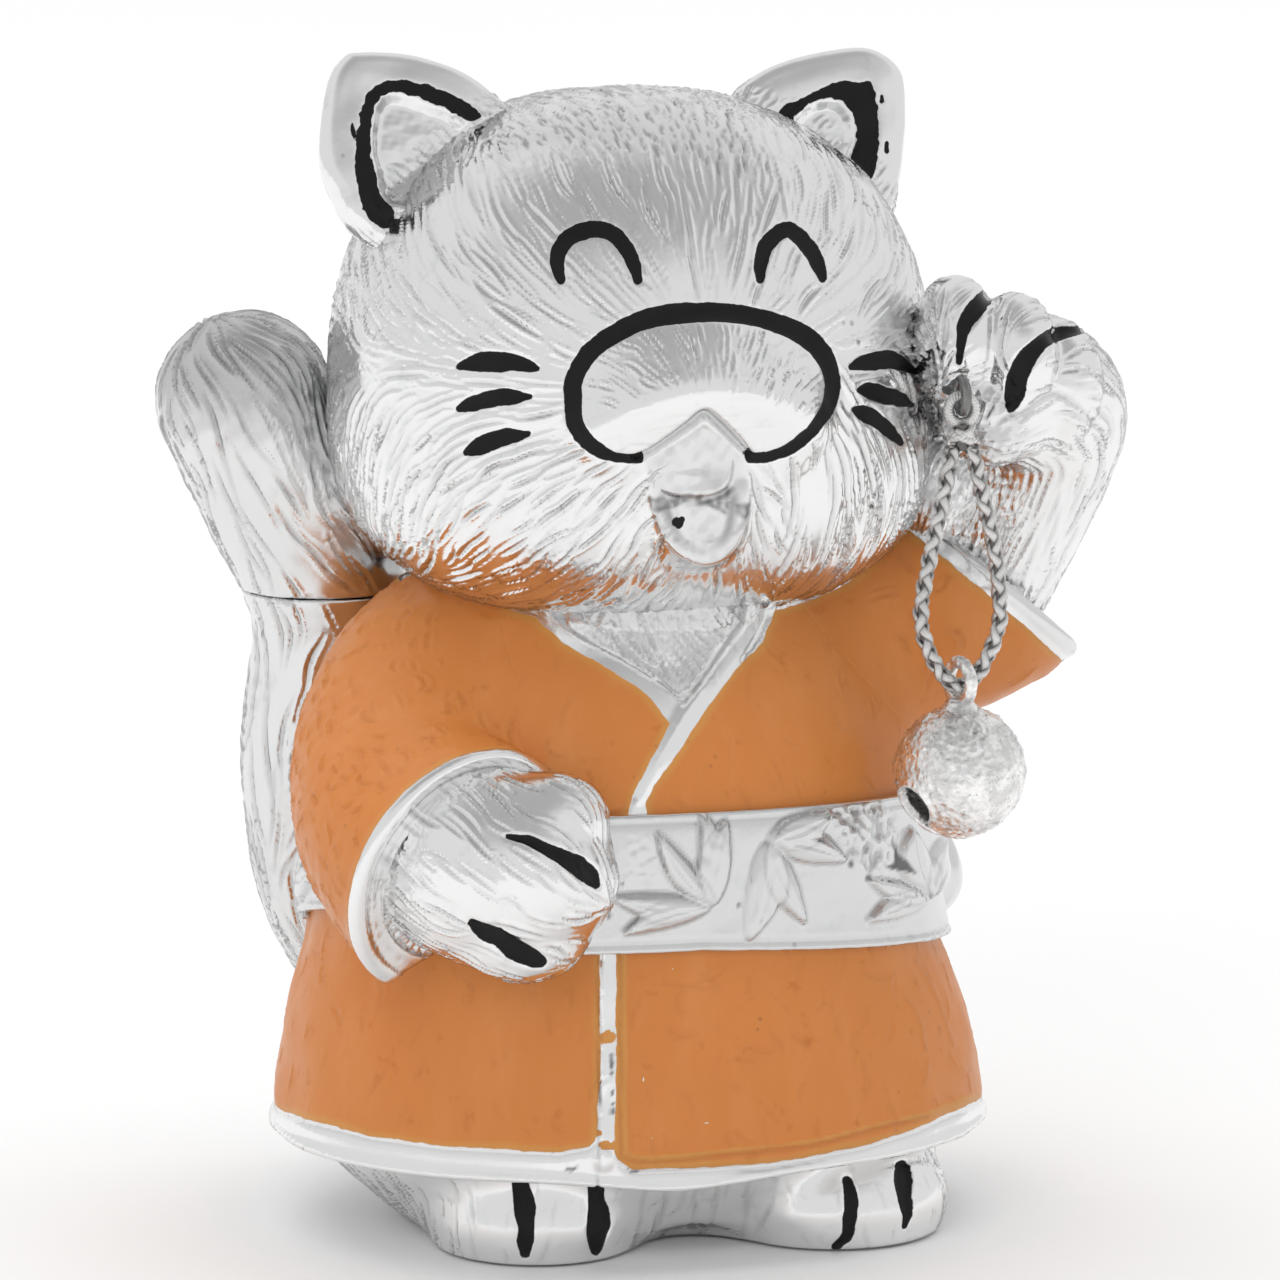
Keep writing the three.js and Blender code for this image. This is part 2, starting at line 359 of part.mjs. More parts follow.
// ---------------------------------------------------------------- nodes
node("head_shell", head, CHROME, 0.15, 1);
node("ear_right", ear(-1), CHROME, 0.15, 1);
node("ear_left", ear(1), CHROME, 0.15, 1);
node("body_shell", body, COATED, 0.4, 0);
node("obi_sash", obi, CHROME, 0.15, 1);
node("obi_bow", bow, CHROME, 0.15, 1);
node("right_sleeve", sleeveR, COATED, 0.4, 0);
node("right_paw", pawR, CHROME, 0.15, 1);
node("left_sleeve", sleeveL, COATED, 0.4, 0);
node("raised_arm", arm, CHROME, 0.15, 1);
node("paw_eyelet", eyelet, STEEL, 0.3, 1);
node("tail_lower", tailLow, CHROME, 0.15, 1);
node("tail_upper", tailUp, CHROME, 0.15, 1);
node("feet_casting", feet, CHROME, 0.15, 1);
node("base_plate", plate, STEEL, 0.45, 1);
node("base_screw_right", screw(-PLATE.screw), STEEL, 0.35, 1);
node("base_screw_left", screw(PLATE.screw), STEEL, 0.35, 1);
node("cord_knot", knot, CORDED, 0.7, 0);
node("bell_cord", cord, CORDED, 0.7, 0);
node("bell_loop", bellLoop, STEEL, 0.3, 1);
node("bell_upper_half", bellTop, CHROME, 0.4, 1);
node("bell_lower_half", bellLow, CHROME, 0.4, 1);
node("bell_pellet", pellet, STEEL, 0.4, 1);

export default group;
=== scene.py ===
"""Seated lucky cat figurine: plated castings with engraved fur, an enamelled coat, and a jingle bell on a braided cord.
Shapes are worked out in millimetres as distance fields, meshed, engraved, and placed in metres in the frame of the part."""
import math

import bpy
import numpy as np
from mathutils import Matrix
from mathutils.kdtree import KDTree


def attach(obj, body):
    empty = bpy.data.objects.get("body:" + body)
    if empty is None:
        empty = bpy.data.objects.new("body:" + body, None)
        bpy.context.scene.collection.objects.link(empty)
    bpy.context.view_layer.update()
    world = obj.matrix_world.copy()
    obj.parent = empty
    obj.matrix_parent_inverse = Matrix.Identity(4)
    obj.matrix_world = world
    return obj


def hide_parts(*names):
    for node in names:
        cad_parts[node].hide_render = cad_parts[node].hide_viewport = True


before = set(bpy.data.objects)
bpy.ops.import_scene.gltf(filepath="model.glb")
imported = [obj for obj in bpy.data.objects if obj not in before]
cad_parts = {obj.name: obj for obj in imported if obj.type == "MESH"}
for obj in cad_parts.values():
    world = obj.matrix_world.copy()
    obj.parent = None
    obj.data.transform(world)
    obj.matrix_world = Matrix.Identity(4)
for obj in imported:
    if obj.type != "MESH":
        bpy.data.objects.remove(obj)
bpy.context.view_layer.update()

COARSE = 1.0
MM = 0.001
scene = bpy.context.scene
scene.view_settings.view_transform = "Standard"

# ---------------------------------------------------------------- camera at the viewing angle of the photograph
AZ, EL = math.radians(-15.0), math.radians(9.5)
BACK = np.array([math.sin(AZ) * math.cos(EL), -math.cos(AZ) * math.cos(EL), math.sin(EL)])
RIGHT = np.array([math.cos(AZ), math.sin(AZ), 0.0])
UP = np.cross(BACK, RIGHT)
AIM, FAR, FOCAL = np.array([1.24, 0.0, 57.8]), 850.0, 8500.0

cam = bpy.data.objects.new("camera", bpy.data.cameras.new("camera"))
scene.collection.objects.link(cam)
cam.data.sensor_width = 36.0
cam.data.lens = FOCAL / 1280 * 36.0
cam.data.clip_start, cam.data.clip_end = 0.05, 20.0
eye = (AIM + BACK * FAR) * MM
turn = Matrix(((RIGHT[0], UP[0], BACK[0]), (RIGHT[1], UP[1], BACK[1]), (RIGHT[2], UP[2], BACK[2])))
cam.matrix_world = Matrix.Translation(eye) @ turn.to_4x4()
scene.camera = cam


def pixel(p):
    """Where a point of the object lies in the 1280 x 1280 frame, used to place marks on the surface."""
    q = p - AIM
    d = FAR - q @ BACK
    return 640 + FOCAL * (q @ RIGHT) / d, 640 - FOCAL * (q @ UP) / d


# ---------------------------------------------------------------- small tools
def vec(*a):
    return np.array(a, float)


def unit(v):
    v = np.asarray(v, float)
    return v / np.maximum(np.linalg.norm(v, axis=-1, keepdims=True), 1e-12)


def smin(a, b, k):
    h = np.clip(0.5 + 0.5 * (b - a) / k, 0, 1)
    return b + (a - b) * h - k * h * (1 - h)


def smax(a, b, k):
    return -smin(-a, -b, k)


def step(x, a, b):
    t = np.clip((x - a) / (b - a), 0, 1)
    return t * t * (3 - 2 * t)


def catmull(rows, m):
    P = np.asarray(rows, float)
    n = len(P)
    out = []
    for i in range(n - 1):
        p0, p1, p2, p3 = P[max(i - 1, 0)], P[i], P[i + 1], P[min(i + 2, n - 1)]
        for t in np.arange(m) / m:
            out.append(0.5 * (2 * p1 + (p2 - p0) * t + (2 * p0 - 5 * p1 + 4 * p2 - p3) * t * t + (3 * p1 - p0 - 3 * p2 + p3) * t ** 3))
    out.append(P[-1])
    return np.array(out)


def waves(p, size, seed, n=7):
    """Smooth random field, about -1 to 1, with features of that size."""
    r = np.random.default_rng(seed)
    k = unit(r.normal(size=(n, 3))) * (2 * math.pi / size) * r.uniform(0.6, 1.4, (n, 1))
    return np.sin(p @ k.T + r.uniform(0, 6.28, n)).sum(1) / math.sqrt(n)


# ---------------------------------------------------------------- distance fields
def ell(p, c, r):
    q = p - vec(*c)
    r = vec(*r)
    k0 = np.sqrt(((q / r) ** 2).sum(-1))
    k1 = np.sqrt(((q / (r * r)) ** 2).sum(-1))
    return k0 * (k0 - 1) / np.maximum(k1, 1e-9)


def limb(p, rows, m=5):
    C = catmull(rows, m)
    d = np.full(len(p), 1e9)
    for a, b in zip(C[:-1], C[1:]):
        ab = b[:3] - a[:3]
        t = np.clip(((p - a[:3]) @ ab) / (ab @ ab), 0, 1)
        d = np.minimum(d, np.linalg.norm(p - a[:3] - t[:, None] * ab, axis=-1) - (a[3] + (b[3] - a[3]) * t))
    return d


def along_limb(p, rows, m=5):
    """Direction of the nearest stretch of a limb, and how far along it (0 to 1)."""
    C = catmull(rows, m)
    d = np.full(len(p), 1e9)
    T = np.zeros((len(p), 3))
    S = np.zeros(len(p))
    for i, (a, b) in enumerate(zip(C[:-1], C[1:])):
        ab = b[:3] - a[:3]
        t = np.clip(((p - a[:3]) @ ab) / (ab @ ab), 0, 1)
        e = np.linalg.norm(p - a[:3] - t[:, None] * ab, axis=-1) - (a[3] + (b[3] - a[3]) * t)
        near = e < d
        d = np.where(near, e, d)
        T[near] = unit(ab)
        S[near] = (i + t[near]) / (len(C) - 1)
    return T, S


def halfspace(p, c, n):
    return (p - vec(*c)) @ unit(n)


def gradient(f, p, e=0.04):
    g = np.empty_like(p)
    for i in range(3):
        o = np.zeros(3)
        o[i] = e
        g[:, i] = (f(p + o) - f(p - o)) / (2 * e)
    return g


def settle(f, p, times=2):
    for _ in range(times):
        g = gradient(f, p)
        p = p - (f(p) / np.maximum((g * g).sum(1), 0.05))[:, None] * g
    return p


# ---------------------------------------------------------------- marks drawn in the picture plane
def trace(U, V, rows, m=5):
    """Distance in pixels to a line of varying half width (rows u, v, half), negative inside."""
    C = catmull(rows, m) if len(rows) > 2 else np.asarray(rows, float)
    d = np.full(len(U), 1e3)
    near = (U > C[:, 0].min() - 40) & (U < C[:, 0].max() + 40) & (V > C[:, 1].min() - 40) & (V < C[:, 1].max() + 40)
    u, v = U[near], V[near]
    e = np.full(len(u), 1e3)
    for a, b in zip(C[:-1], C[1:]):
        x, y = b[0] - a[0], b[1] - a[1]
        t = np.clip(((u - a[0]) * x + (v - a[1]) * y) / max(x * x + y * y, 1e-9), 0, 1)
        e = np.minimum(e, np.hypot(u - a[0] - t * x, v - a[1] - t * y) - (a[2] + (b[2] - a[2]) * t))
    d[near] = e
    return d


def patch(U, V, pts):
    """Signed distance in pixels to a closed outline, negative inside."""
    P = np.asarray(pts, float)
    d = np.full(len(U), 1e9)
    odd = np.zeros(len(U), bool)
    for a, b in zip(P, np.roll(P, -1, 0)):
        x, y = b - a
        t = np.clip(((U - a[0]) * x + (V - a[1]) * y) / max(x * x + y * y, 1e-9), 0, 1)
        d = np.minimum(d, np.hypot(U - a[0] - t * x, V - a[1] - t * y))
        cross = (a[1] > V) != (b[1] > V)
        with np.errstate(divide="ignore", invalid="ignore"):
            odd ^= cross & (U < (b[0] - a[0]) * (V - a[1]) / (b[1] - a[1] if b[1] != a[1] else 1e-9) + a[0])
    return np.where(odd, -d, d)


def dome(U, V, c, r):
    return np.sqrt(np.maximum(1 - ((U - c[0]) / r[0]) ** 2 - ((V - c[1]) / r[1]) ** 2, 0))


PX = 0.097  # millimetres to a pixel on the front of the figure


# ---------------------------------------------------------------- meshing
def surface(f, lo, hi, h, warp=None, stretch=1.0):
    """Vertices and quads of the zero level of f inside a box, on a grid of pitch h that warp may bend."""
    lo, hi = vec(*lo), vec(*hi)
    h = h * COARSE
    B = 6
    n = ((np.ceil((hi - lo) / h).astype(int) + B) // B) * B + 1
    at = (lambda c: warp(c)) if warp else (lambda c: c)
    nb = (n - 1) // B
    mid = np.stack(np.meshgrid(*[lo[i] + h * (np.arange(nb[i]) + 0.5) * B for i in range(3)], indexing="ij"), -1).reshape(-1, 3)
    d = f(at(mid)).reshape(nb)
    reach = B * h * 0.87 * 1.45 * stretch + 0.5
    F = np.full(n, 9.0, np.float32)
    F[:-1, :-1, :-1] = np.repeat(np.repeat(np.repeat(np.where(d < 0, -9.0, 9.0), B, 0), B, 1), B, 2)
    off = np.stack(np.meshgrid(*[np.arange(B + 1)] * 3, indexing="ij"), -1).reshape(-1, 3)
    near = np.argwhere(np.abs(d) < reach)
    for i in range(0, len(near), 400):
        ix = (near[i:i + 400, None, :] * B + off[None]).reshape(-1, 3)
        F[ix[:, 0], ix[:, 1], ix[:, 2]] = f(at(lo + h * ix))
    F[0], F[-1], F[:, 0], F[:, -1], F[:, :, 0], F[:, :, -1] = 9, 9, 9, 9, 9, 9
    s = F < 0
    c = np.zeros(n - 1, np.int8)
    corners = [(i, j, k) for i in (0, 1) for j in (0, 1) for k in (0, 1)]
    for i, j, k in corners:
        c += s[i:n[0] - 1 + i, j:n[1] - 1 + j, k:n[2] - 1 + k]
    act = (c > 0) & (c < 8)
    idx = np.full(act.shape, -1, np.int64)
    ijk = np.argwhere(act)
    idx[act] = np.arange(len(ijk))
    pos, cnt = np.zeros((len(ijk), 3)), np.zeros(len(ijk))
    for a in corners:
        for ax in range(3):
            if a[ax] == 0:
                b = list(a)
                b[ax] = 1
                fa, fb = F[tuple((ijk + np.array(a)).T)], F[tuple((ijk + np.array(b)).T)]
                m = (fa < 0) != (fb < 0)
                t = fa[m] / (fa[m] - fb[m])
                pos[m] += np.array(a) + t[:, None] * (np.array(b) - np.array(a))
                cnt[m] += 1
    v = at(lo + h * (ijk + pos / cnt[:, None]))
    quads = []
    for ax in range(3):
        o = [i for i in range(3) if i != ax]
        s0, s1 = [slice(None)] * 3, [slice(None)] * 3
        s0[ax], s1[ax] = slice(0, -1), slice(1, None)
        for q in o:
            s0[q] = s1[q] = slice(1, -1)
        e = np.argwhere(s[tuple(s0)] != s[tuple(s1)])
        if not len(e):
            continue
        for q in o:
            e[:, q] += 1

        def cell(d0, d1):
            w = e.copy()
            w[:, o[0]] -= d0
            w[:, o[1]] -= d1
            return idx[tuple(w.T)]

        quads.append(np.stack([cell(1, 1), cell(0, 1), cell(0, 0), cell(1, 0)], 1))
    Q = np.concatenate(quads)
    v = settle(f, v, 2)
    N = unit(gradient(f, v))
    face = np.cross(v[Q[:, 2]] - v[Q[:, 0]], v[Q[:, 3]] - v[Q[:, 1]])
    wrong = (face * N[Q].mean(1)).sum(1) < 0
    Q[wrong] = Q[wrong][:, ::-1]
    return v, Q, N


def vertex_area(V, Q):
    a = 0.5 * np.linalg.norm(np.cross(V[Q[:, 2]] - V[Q[:, 0]], V[Q[:, 3]] - V[Q[:, 1]]), axis=1)
    out = np.zeros(len(V))
    for i in range(4):
        np.add.at(out, Q[:, i], a / 4)
    return out


def kd_of(V):
    kd = KDTree(len(V))
    for i, v in enumerate(V.tolist()):
        kd.insert(v, i)
    kd.balance()
    return kd


def scatter(V, area, gap, rng, keep=None):
    """Vertices about a gap apart, spread evenly over the surface."""
    w = area.copy()
    if keep is not None:
        w = w * keep
    if w.sum() <= 0:
        return np.zeros(0, int)
    size = min(int((w > 0).sum()), int(6 * w.sum() / (gap * gap)) + 50)
    order = rng.choice(len(V), size=size, replace=False, p=w / w.sum())
    cells, got = {}, []
    for i in order:
        p = V[i]
        k = tuple((p // gap).astype(int))
        ok = True
        for dx in (-1, 0, 1):
            for dy in (-1, 0, 1):
                for dz in (-1, 0, 1):
                    for q in cells.get((k[0] + dx, k[1] + dy, k[2] + dz), ()):
                        if (p[0] - q[0]) ** 2 + (p[1] - q[1]) ** 2 + (p[2] - q[2]) ** 2 < gap * gap:
                            ok = False
        if ok:
            cells.setdefault(k, []).append(p)
            got.append(i)
    return np.array(got, int)


def splat(V, kd, Q, T, B, along, width, depth, groove, ridge, lift):
    """Cuts a V groove with raised sides along the points Q."""
    reach = np.maximum(2.0 * width, 1.1 * along)
    I, J = [], []
    for j, q in enumerate(Q.tolist()):
        for hit in kd.find_range(q, reach[j]):
            I.append(hit[1])
            J.append(j)
    if not I:
        return
    I, J = np.array(I), np.array(J)
    D = V[I] - Q[J]
    a, s = (D * T[J]).sum(1), (D * B[J]).sum(1)
    ok = np.abs(a) < 0.85 * along[J]
    I, J, s = I[ok], J[ok], s[ok]
    w = width[J]
    np.maximum.at(groove, I, depth[J] * np.exp(-((s / (0.62 * w)) ** 2)))
    if lift:
        np.maximum.at(ridge, I, lift * depth[J] * np.exp(-(((np.abs(s) - 1.15 * w) / (0.55 * w)) ** 2)))


def fur(f, V, kd, seeds, flow, length, width, depth, groove, ridge, rng, lift=0.35, back=0.5, bend=0.3):
    """Engraved strokes of fur that start round the seeds and follow a flow over the surface."""
    S = len(seeds)
    if not S:
        return
    L = length * rng.uniform(0.55, 1.25, S) * np.ones(S)
    W = width * rng.uniform(0.7, 1.3, S)
    D = depth * rng.uniform(0.6, 1.25, S)
    K = int(math.ceil(L.max() / 0.36)) + 1
    h = L / K
    P = V[seeds].copy()
    sway = rng.normal(0, 0.08, S)
    turnrate = rng.normal(0, bend, S)
    pts, tan, nor = [], [], []

    def go(P, sign, k):
        N = unit(gradient(f, P))
        T = flow(P, N)
        T = T - (T * N).sum(1, keepdims=True) * N
        T = unit(T)
        ang = sway + turnrate * (k / K - 0.5)
        T = T * np.cos(ang)[:, None] + np.cross(N, T) * np.sin(ang)[:, None]
        return N, T * sign

    for k in range(int(K * back)):
        N, T = go(P, -1.0, 0)
        P = settle(f, P + T * h[:, None], 1)
    for k in range(K + 1):
        N, T = go(P, 1.0, k)
        pts.append(P)
        tan.append(T)
        nor.append(N)
        P = settle(f, P + T * h[:, None], 1)
    Q, T, N = (np.stack(x, 1).reshape(-1, 3) for x in (pts, tan, nor))
    t = np.tile(np.arange(K + 1) / K, S)
    taper = np.clip(np.sin(np.pi * np.clip(t, 0.02, 0.98)) ** 0.7, 0.05, 1)
    rep = lambda x: np.repeat(x, K + 1)
    splat(V, kd, Q, T, np.cross(N, T), rep(h), rep(W) * (0.45 + 0.55 * taper), rep(D) * taper, groove, ridge, lift)


def make_object(name, V, F, mat, body, nodes, attrs=None, smooth=True):
    """A mesh piece from vertices in millimetres; F is an array of quads or a list of faces."""
    me = bpy.data.meshes.new(name)
    if isinstance(F, np.ndarray):
        k = F.shape[1]
        me.vertices.add(len(V))
        me.vertices.foreach_set("co", (np.asarray(V) * MM).astype(np.float32).ravel())
        me.loops.add(F.size)
        me.loops.foreach_set("vertex_index", F.astype(np.int32).ravel())
        me.polygons.add(len(F))
        me.polygons.foreach_set("loop_start", np.arange(0, F.size, k, dtype=np.int32))
    else:
        me.from_pydata((np.asarray(V) * MM).tolist(), [], F)
    for key, val in (attrs or {}).items():
        a = me.attributes.new(key, "FLOAT", "POINT")
        a.data.foreach_set("value", np.asarray(val, np.float32))
    me.update(calc_edges=True)
    me.validate()
    me.polygons.foreach_set("use_smooth", np.full(len(me.polygons), smooth))
    ob = bpy.data.objects.new(name, me)
    scene.collection.objects.link(ob)
    me.materials.append(mat)
    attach(ob, body)
    if nodes:
        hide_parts(*nodes)
    return ob


def join(parts):
    V, F, n = [], [], 0
    for v, f in parts:
        V.append(np.asarray(v, float))
        F.append(np.asarray(f) + n)
        n += len(v)
    return np.concatenate(V), np.concatenate(F)


def tube(P, r, around=10, closed=False, flat=None, spin=None):
    """Quads of a tube along points; r is one radius or one a point; flat gives a second radius across; open ends are closed by a point."""
    P = np.asarray(P, float)
    n = len(P)
    r = np.broadcast_to(np.asarray(r, float), (n,))
    flat = r if flat is None else np.broadcast_to(np.asarray(flat, float), (n,))
    T = unit(np.roll(P, -1, 0) - np.roll(P, 1, 0)) if closed else unit(np.gradient(P, axis=0))
    if spin is None:
        X = np.empty_like(P)
        x = np.cross(T[0], [0, 0, 1.0])
        if np.linalg.norm(x) < 0.2:
            x = np.cross(T[0], [1.0, 0, 0])
        for i in range(n):
            x = unit(x - (x @ T[i]) * T[i])
            X[i] = x
    else:
        X = unit(spin - (spin * T).sum(1, keepdims=True) * T)
    Y = np.cross(T, X)
    a = np.arange(around) / around * 2 * math.pi
    V = (P[:, None] + r[:, None, None] * np.cos(a)[None, :, None] * X[:, None] + flat[:, None, None] * np.sin(a)[None, :, None] * Y[:, None]).reshape(-1, 3)
    F = []
    m = n if closed else n - 1
    for i in range(m):
        for j in range(around):
            k, i2 = (j + 1) % around, (i + 1) % n
            F.append((i * around + j, i * around + k, i2 * around + k, i2 * around + j))
    if not closed:
        V = np.concatenate([V, P[:1], P[-1:]])
        for j in range(0, around, 2):
            F.append(((n * around), (j + 2) % around, (j + 1) % around, j))
            b = (n - 1) * around
            F.append((n * around + 1, b + j, b + (j + 1) % around, b + (j + 2) % around))
    return V, np.array(F)


# ---------------------------------------------------------------- materials
class Nodes:
    def __init__(self, name):
        self.mat = bpy.data.materials.new(name)
        self.mat.use_nodes = True
        self.t = self.mat.node_tree
        self.t.nodes.clear()
        self.out = self.t.nodes.new("ShaderNodeOutputMaterial")
        self.bsdf = self.t.nodes.new("ShaderNodeBsdfPrincipled")
        self.t.links.new(self.bsdf.outputs[0], self.out.inputs[0])
        self.co = self.t.nodes.new("ShaderNodeTexCoord").outputs["Object"]

    def set(self, **k):
        for name, v in k.items():
            self.bsdf.inputs[name.replace("_", " ")].default_value = v

    def link(self, out, name):
        self.t.links.new(out, self.bsdf.inputs[name])

    def attr(self, name):
        n = self.t.nodes.new("ShaderNodeAttribute")
        n.attribute_name = name
        return n.outputs["Fac"]

    def _in(self, sock, v):
        if isinstance(v, bpy.types.NodeSocket):
            self.t.links.new(v, sock)
        else:
            sock.default_value = v

    def noise(self, scale, detail=3.0, rough=0.55, stretch=None, seed=0.0):
        n = self.t.nodes.new("ShaderNodeTexNoise")
        n.inputs["Scale"].default_value = scale
        n.inputs["Detail"].default_value = detail
        n.inputs["Roughness"].default_value = rough
        co = self.co
        if stretch or seed:
            m = self.t.nodes.new("ShaderNodeMapping")
            m.inputs["Scale"].default_value = stretch or (1, 1, 1)
            m.inputs["Location"].default_value = (seed, seed * 0.7, -seed)
            self.t.links.new(co, m.inputs["Vector"])
            co = m.outputs[0]
        self.t.links.new(co, n.inputs["Vector"])
        return n.outputs["Fac"]

    def cells(self, scale, kind="F1", rnd=1.0):
        n = self.t.nodes.new("ShaderNodeTexVoronoi")
        n.feature = kind
        n.inputs["Scale"].default_value = scale
        n.inputs["Randomness"].default_value = rnd
        self.t.links.new(self.co, n.inputs["Vector"])
        return n.outputs["Distance"]

    def math(self, op, a, b=0.0, clamp=False):
        n = self.t.nodes.new("ShaderNodeMath")
        n.operation = op
        n.use_clamp = clamp
        self._in(n.inputs[0], a)
        self._in(n.inputs[1], b)
        return n.outputs[0]

    def fit(self, x, a, b, c=0.0, d=1.0):
        n = self.t.nodes.new("ShaderNodeMapRange")
        n.interpolation_type = "SMOOTHSTEP"
        for i, v in enumerate((x, a, b, c, d)):
            self._in(n.inputs[i], v)
        return n.outputs[0]

    def mix(self, f, a, b):
        n = self.t.nodes.new("ShaderNodeMix")
        n.data_type = "RGBA"
        self._in(n.inputs[0], f)
        self._in(n.inputs[6], (*a, 1) if isinstance(a, tuple) else a)
        self._in(n.inputs[7], (*b, 1) if isinstance(b, tuple) else b)
        return n.outputs[2]

    def lerp(self, f, a, b):
        n = self.t.nodes.new("ShaderNodeMix")
        n.data_type = "FLOAT"
        self._in(n.inputs[0], f)
        self._in(n.inputs[2], a)
        self._in(n.inputs[3], b)
        return n.outputs[0]

    def bump(self, height, strength, distance, after=None):
        n = self.t.nodes.new("ShaderNodeBump")
        n.inputs["Strength"].default_value = strength
        n.inputs["Distance"].default_value = distance
        self._in(n.inputs["Height"], height)
        if after is not None:
            self.t.links.new(after, n.inputs["Normal"])
        return n.outputs[0]


def plated_material():
    """Bright plated casting; attributes: black, millimetres to black paint, and groove, how dark the plating is:
    engraved lines plus painted shade in recesses, creases and under parts.
    """
    m = Nodes("plated_casting")
    black = m.fit(m.math("ADD", m.attr("black"), m.math("MULTIPLY", m.math("SUBTRACT", m.noise(900, 3.0), 0.5), 0.34)), 0.15, 0.07)
    groove = m.attr("groove")
    tone = m.mix(m.noise(55, 4.0), (0.83, 0.835, 0.84), (0.90, 0.90, 0.895))
    tone = m.mix(m.fit(m.noise(420, 5.0, 0.6), 0.56, 0.74), tone, (0.78, 0.785, 0.79))
    # groove darkens the plating: engraved lines, and painted shade where the pieces carry it
    tone = m.mix(m.math("MULTIPLY", groove, 0.62, True), tone, (0.17, 0.17, 0.172))
    specks = m.fit(m.cells(330), 0.13, 0.05)
    few = m.fit(m.noise(70, 2.0, seed=3.1), 0.60, 0.70)
    tone = m.mix(m.math("MULTIPLY", m.math("MULTIPLY", specks, few), 0.75), tone, (0.05, 0.05, 0.05))
    paint = m.mix(m.noise(260, 3.0), (0.005, 0.0048, 0.0048), (0.014, 0.0135, 0.0135))
    m.link(m.mix(black, tone, paint), "Base Color")
    m.set(Specular_IOR_Level=0.16)
    m.link(m.math("SUBTRACT", 1.0, black), "Metallic")
    rough = m.fit(m.noise(130, 4.0, seed=1.7), 0.3, 0.75, 0.13, 0.24)
    rough = m.math("ADD", rough, m.math("MULTIPLY", groove, 0.14))
    m.link(m.lerp(black, rough, 0.34), "Roughness")
    cast = m.bump(m.noise(95, 3.0, 0.5), 0.5, 0.00028)
    m.link(m.bump(m.noise(1500, 2.0), 0.16, 0.00005, cast), "Normal")
    return m.mat


def coat_material():
    """Brushed orange enamel over plating; attributes: enamel, millimetres to the paint's edge (negative inside), black and groove as on the castings."""
    m = Nodes("enamelled_coat")
    edge = m.math("ADD", m.attr("enamel"), m.math("MULTIPLY", m.math("SUBTRACT", m.noise(520, 4.0), 0.5), 0.5))
    on = m.fit(edge, 0.05, -0.05)
    groove = m.attr("groove")
    base = m.mix(m.noise(28, 3.0), (0.585, 0.197, 0.041), (0.64, 0.226, 0.054))
    brush = m.noise(240, 4.0, 0.6, stretch=(1.0, 1.0, 0.22))
    base = m.mix(m.math("MULTIPLY", m.fit(brush, 0.42, 0.8), 0.6), base, (0.66, 0.254, 0.075))
    base = m.mix(m.fit(m.noise(420, 3.0, seed=5.0), 0.60, 0.78), base, (0.525, 0.168, 0.034))
    pits = m.math("MULTIPLY", m.fit(m.cells(420), 0.12, 0.05), m.fit(m.noise(60, 2.0, seed=8.0), 0.52, 0.66))
    base = m.mix(m.math("MULTIPLY", pits, 0.55), base, (0.28, 0.10, 0.04))
    flecks = m.math("MULTIPLY", m.fit(m.cells(260), 0.07, 0.03), m.fit(m.noise(80, 2.0, seed=2.0), 0.57, 0.66))
    base = m.mix(flecks, base, (0.75, 0.52, 0.36))
    thin = m.math("MULTIPLY", m.fit(m.math("ADD", edge, m.math("MULTIPLY", m.math("SUBTRACT", m.noise(140, 3.0, seed=4.0), 0.5), 1.1)), -0.95, -0.1), 0.62)
    base = m.mix(thin, base, (0.61, 0.305, 0.075))
    base = m.mix(m.math("MULTIPLY", groove, 0.5, True), base, (0.30, 0.10, 0.03))
    tone = m.mix(m.noise(55, 4.0), (0.83, 0.835, 0.84), (0.90, 0.90, 0.895))
    tone = m.mix(m.math("MULTIPLY", groove, 0.5, True), tone, (0.14, 0.14, 0.143))
    m.link(m.mix(on, tone, base), "Base Color")
    m.set(Specular_IOR_Level=0.34)
    m.link(m.math("SUBTRACT", 1.0, on), "Metallic")
    rough = m.fit(m.noise(190, 4.0, seed=1.1), 0.3, 0.75, 0.34, 0.5)
    m.link(m.lerp(on, m.fit(m.noise(130, 4.0), 0.3, 0.75, 0.13, 0.24), rough), "Roughness")
    film = m.bump(on, 0.5, 0.00006)
    marks = m.bump(brush, 0.28, 0.0001, film)
    m.link(m.bump(pits, -0.4, 0.0001, marks), "Normal")
    return m.mat


def bell_material():
    m = Nodes("stardust_plating")
    grain = m.cells(1500)
    fine = m.noise(2600, 3.0, 0.7)
    tone = m.mix(m.fit(m.noise(600, 4.0, 0.7), 0.40, 0.60), (0.72, 0.715, 0.71), (0.97, 0.965, 0.96))
    dark = m.math("MULTIPLY", m.fit(m.noise(1250, 3.0, 0.65, seed=6.0), 0.62, 0.72), 0.55)
    m.link(m.mix(dark, tone, (0.12, 0.118, 0.115)), "Base Color")
    m.set(Metallic=1.0)
    m.link(m.fit(fine, 0.3, 0.7, 0.22, 0.48), "Roughness")
    m.link(m.bump(fine, 0.5, 0.00006, m.bump(grain, 0.7, 0.00016)), "Normal")
    return m.mat


def wire_material(name, tone0, tone1, r0, r1):
    m = Nodes(name)
    brush = m.noise(900, 4.0, 0.6, stretch=(1.0, 0.12, 1.0))
    m.link(m.mix(m.noise(300, 4.0), tone0, tone1), "Base Color")
    m.set(Metallic=1.0)
    m.link(m.fit(brush, 0.3, 0.7, r0, r1), "Roughness")
    m.link(m.bump(brush, 0.25, 0.00004), "Normal")
    return m.mat


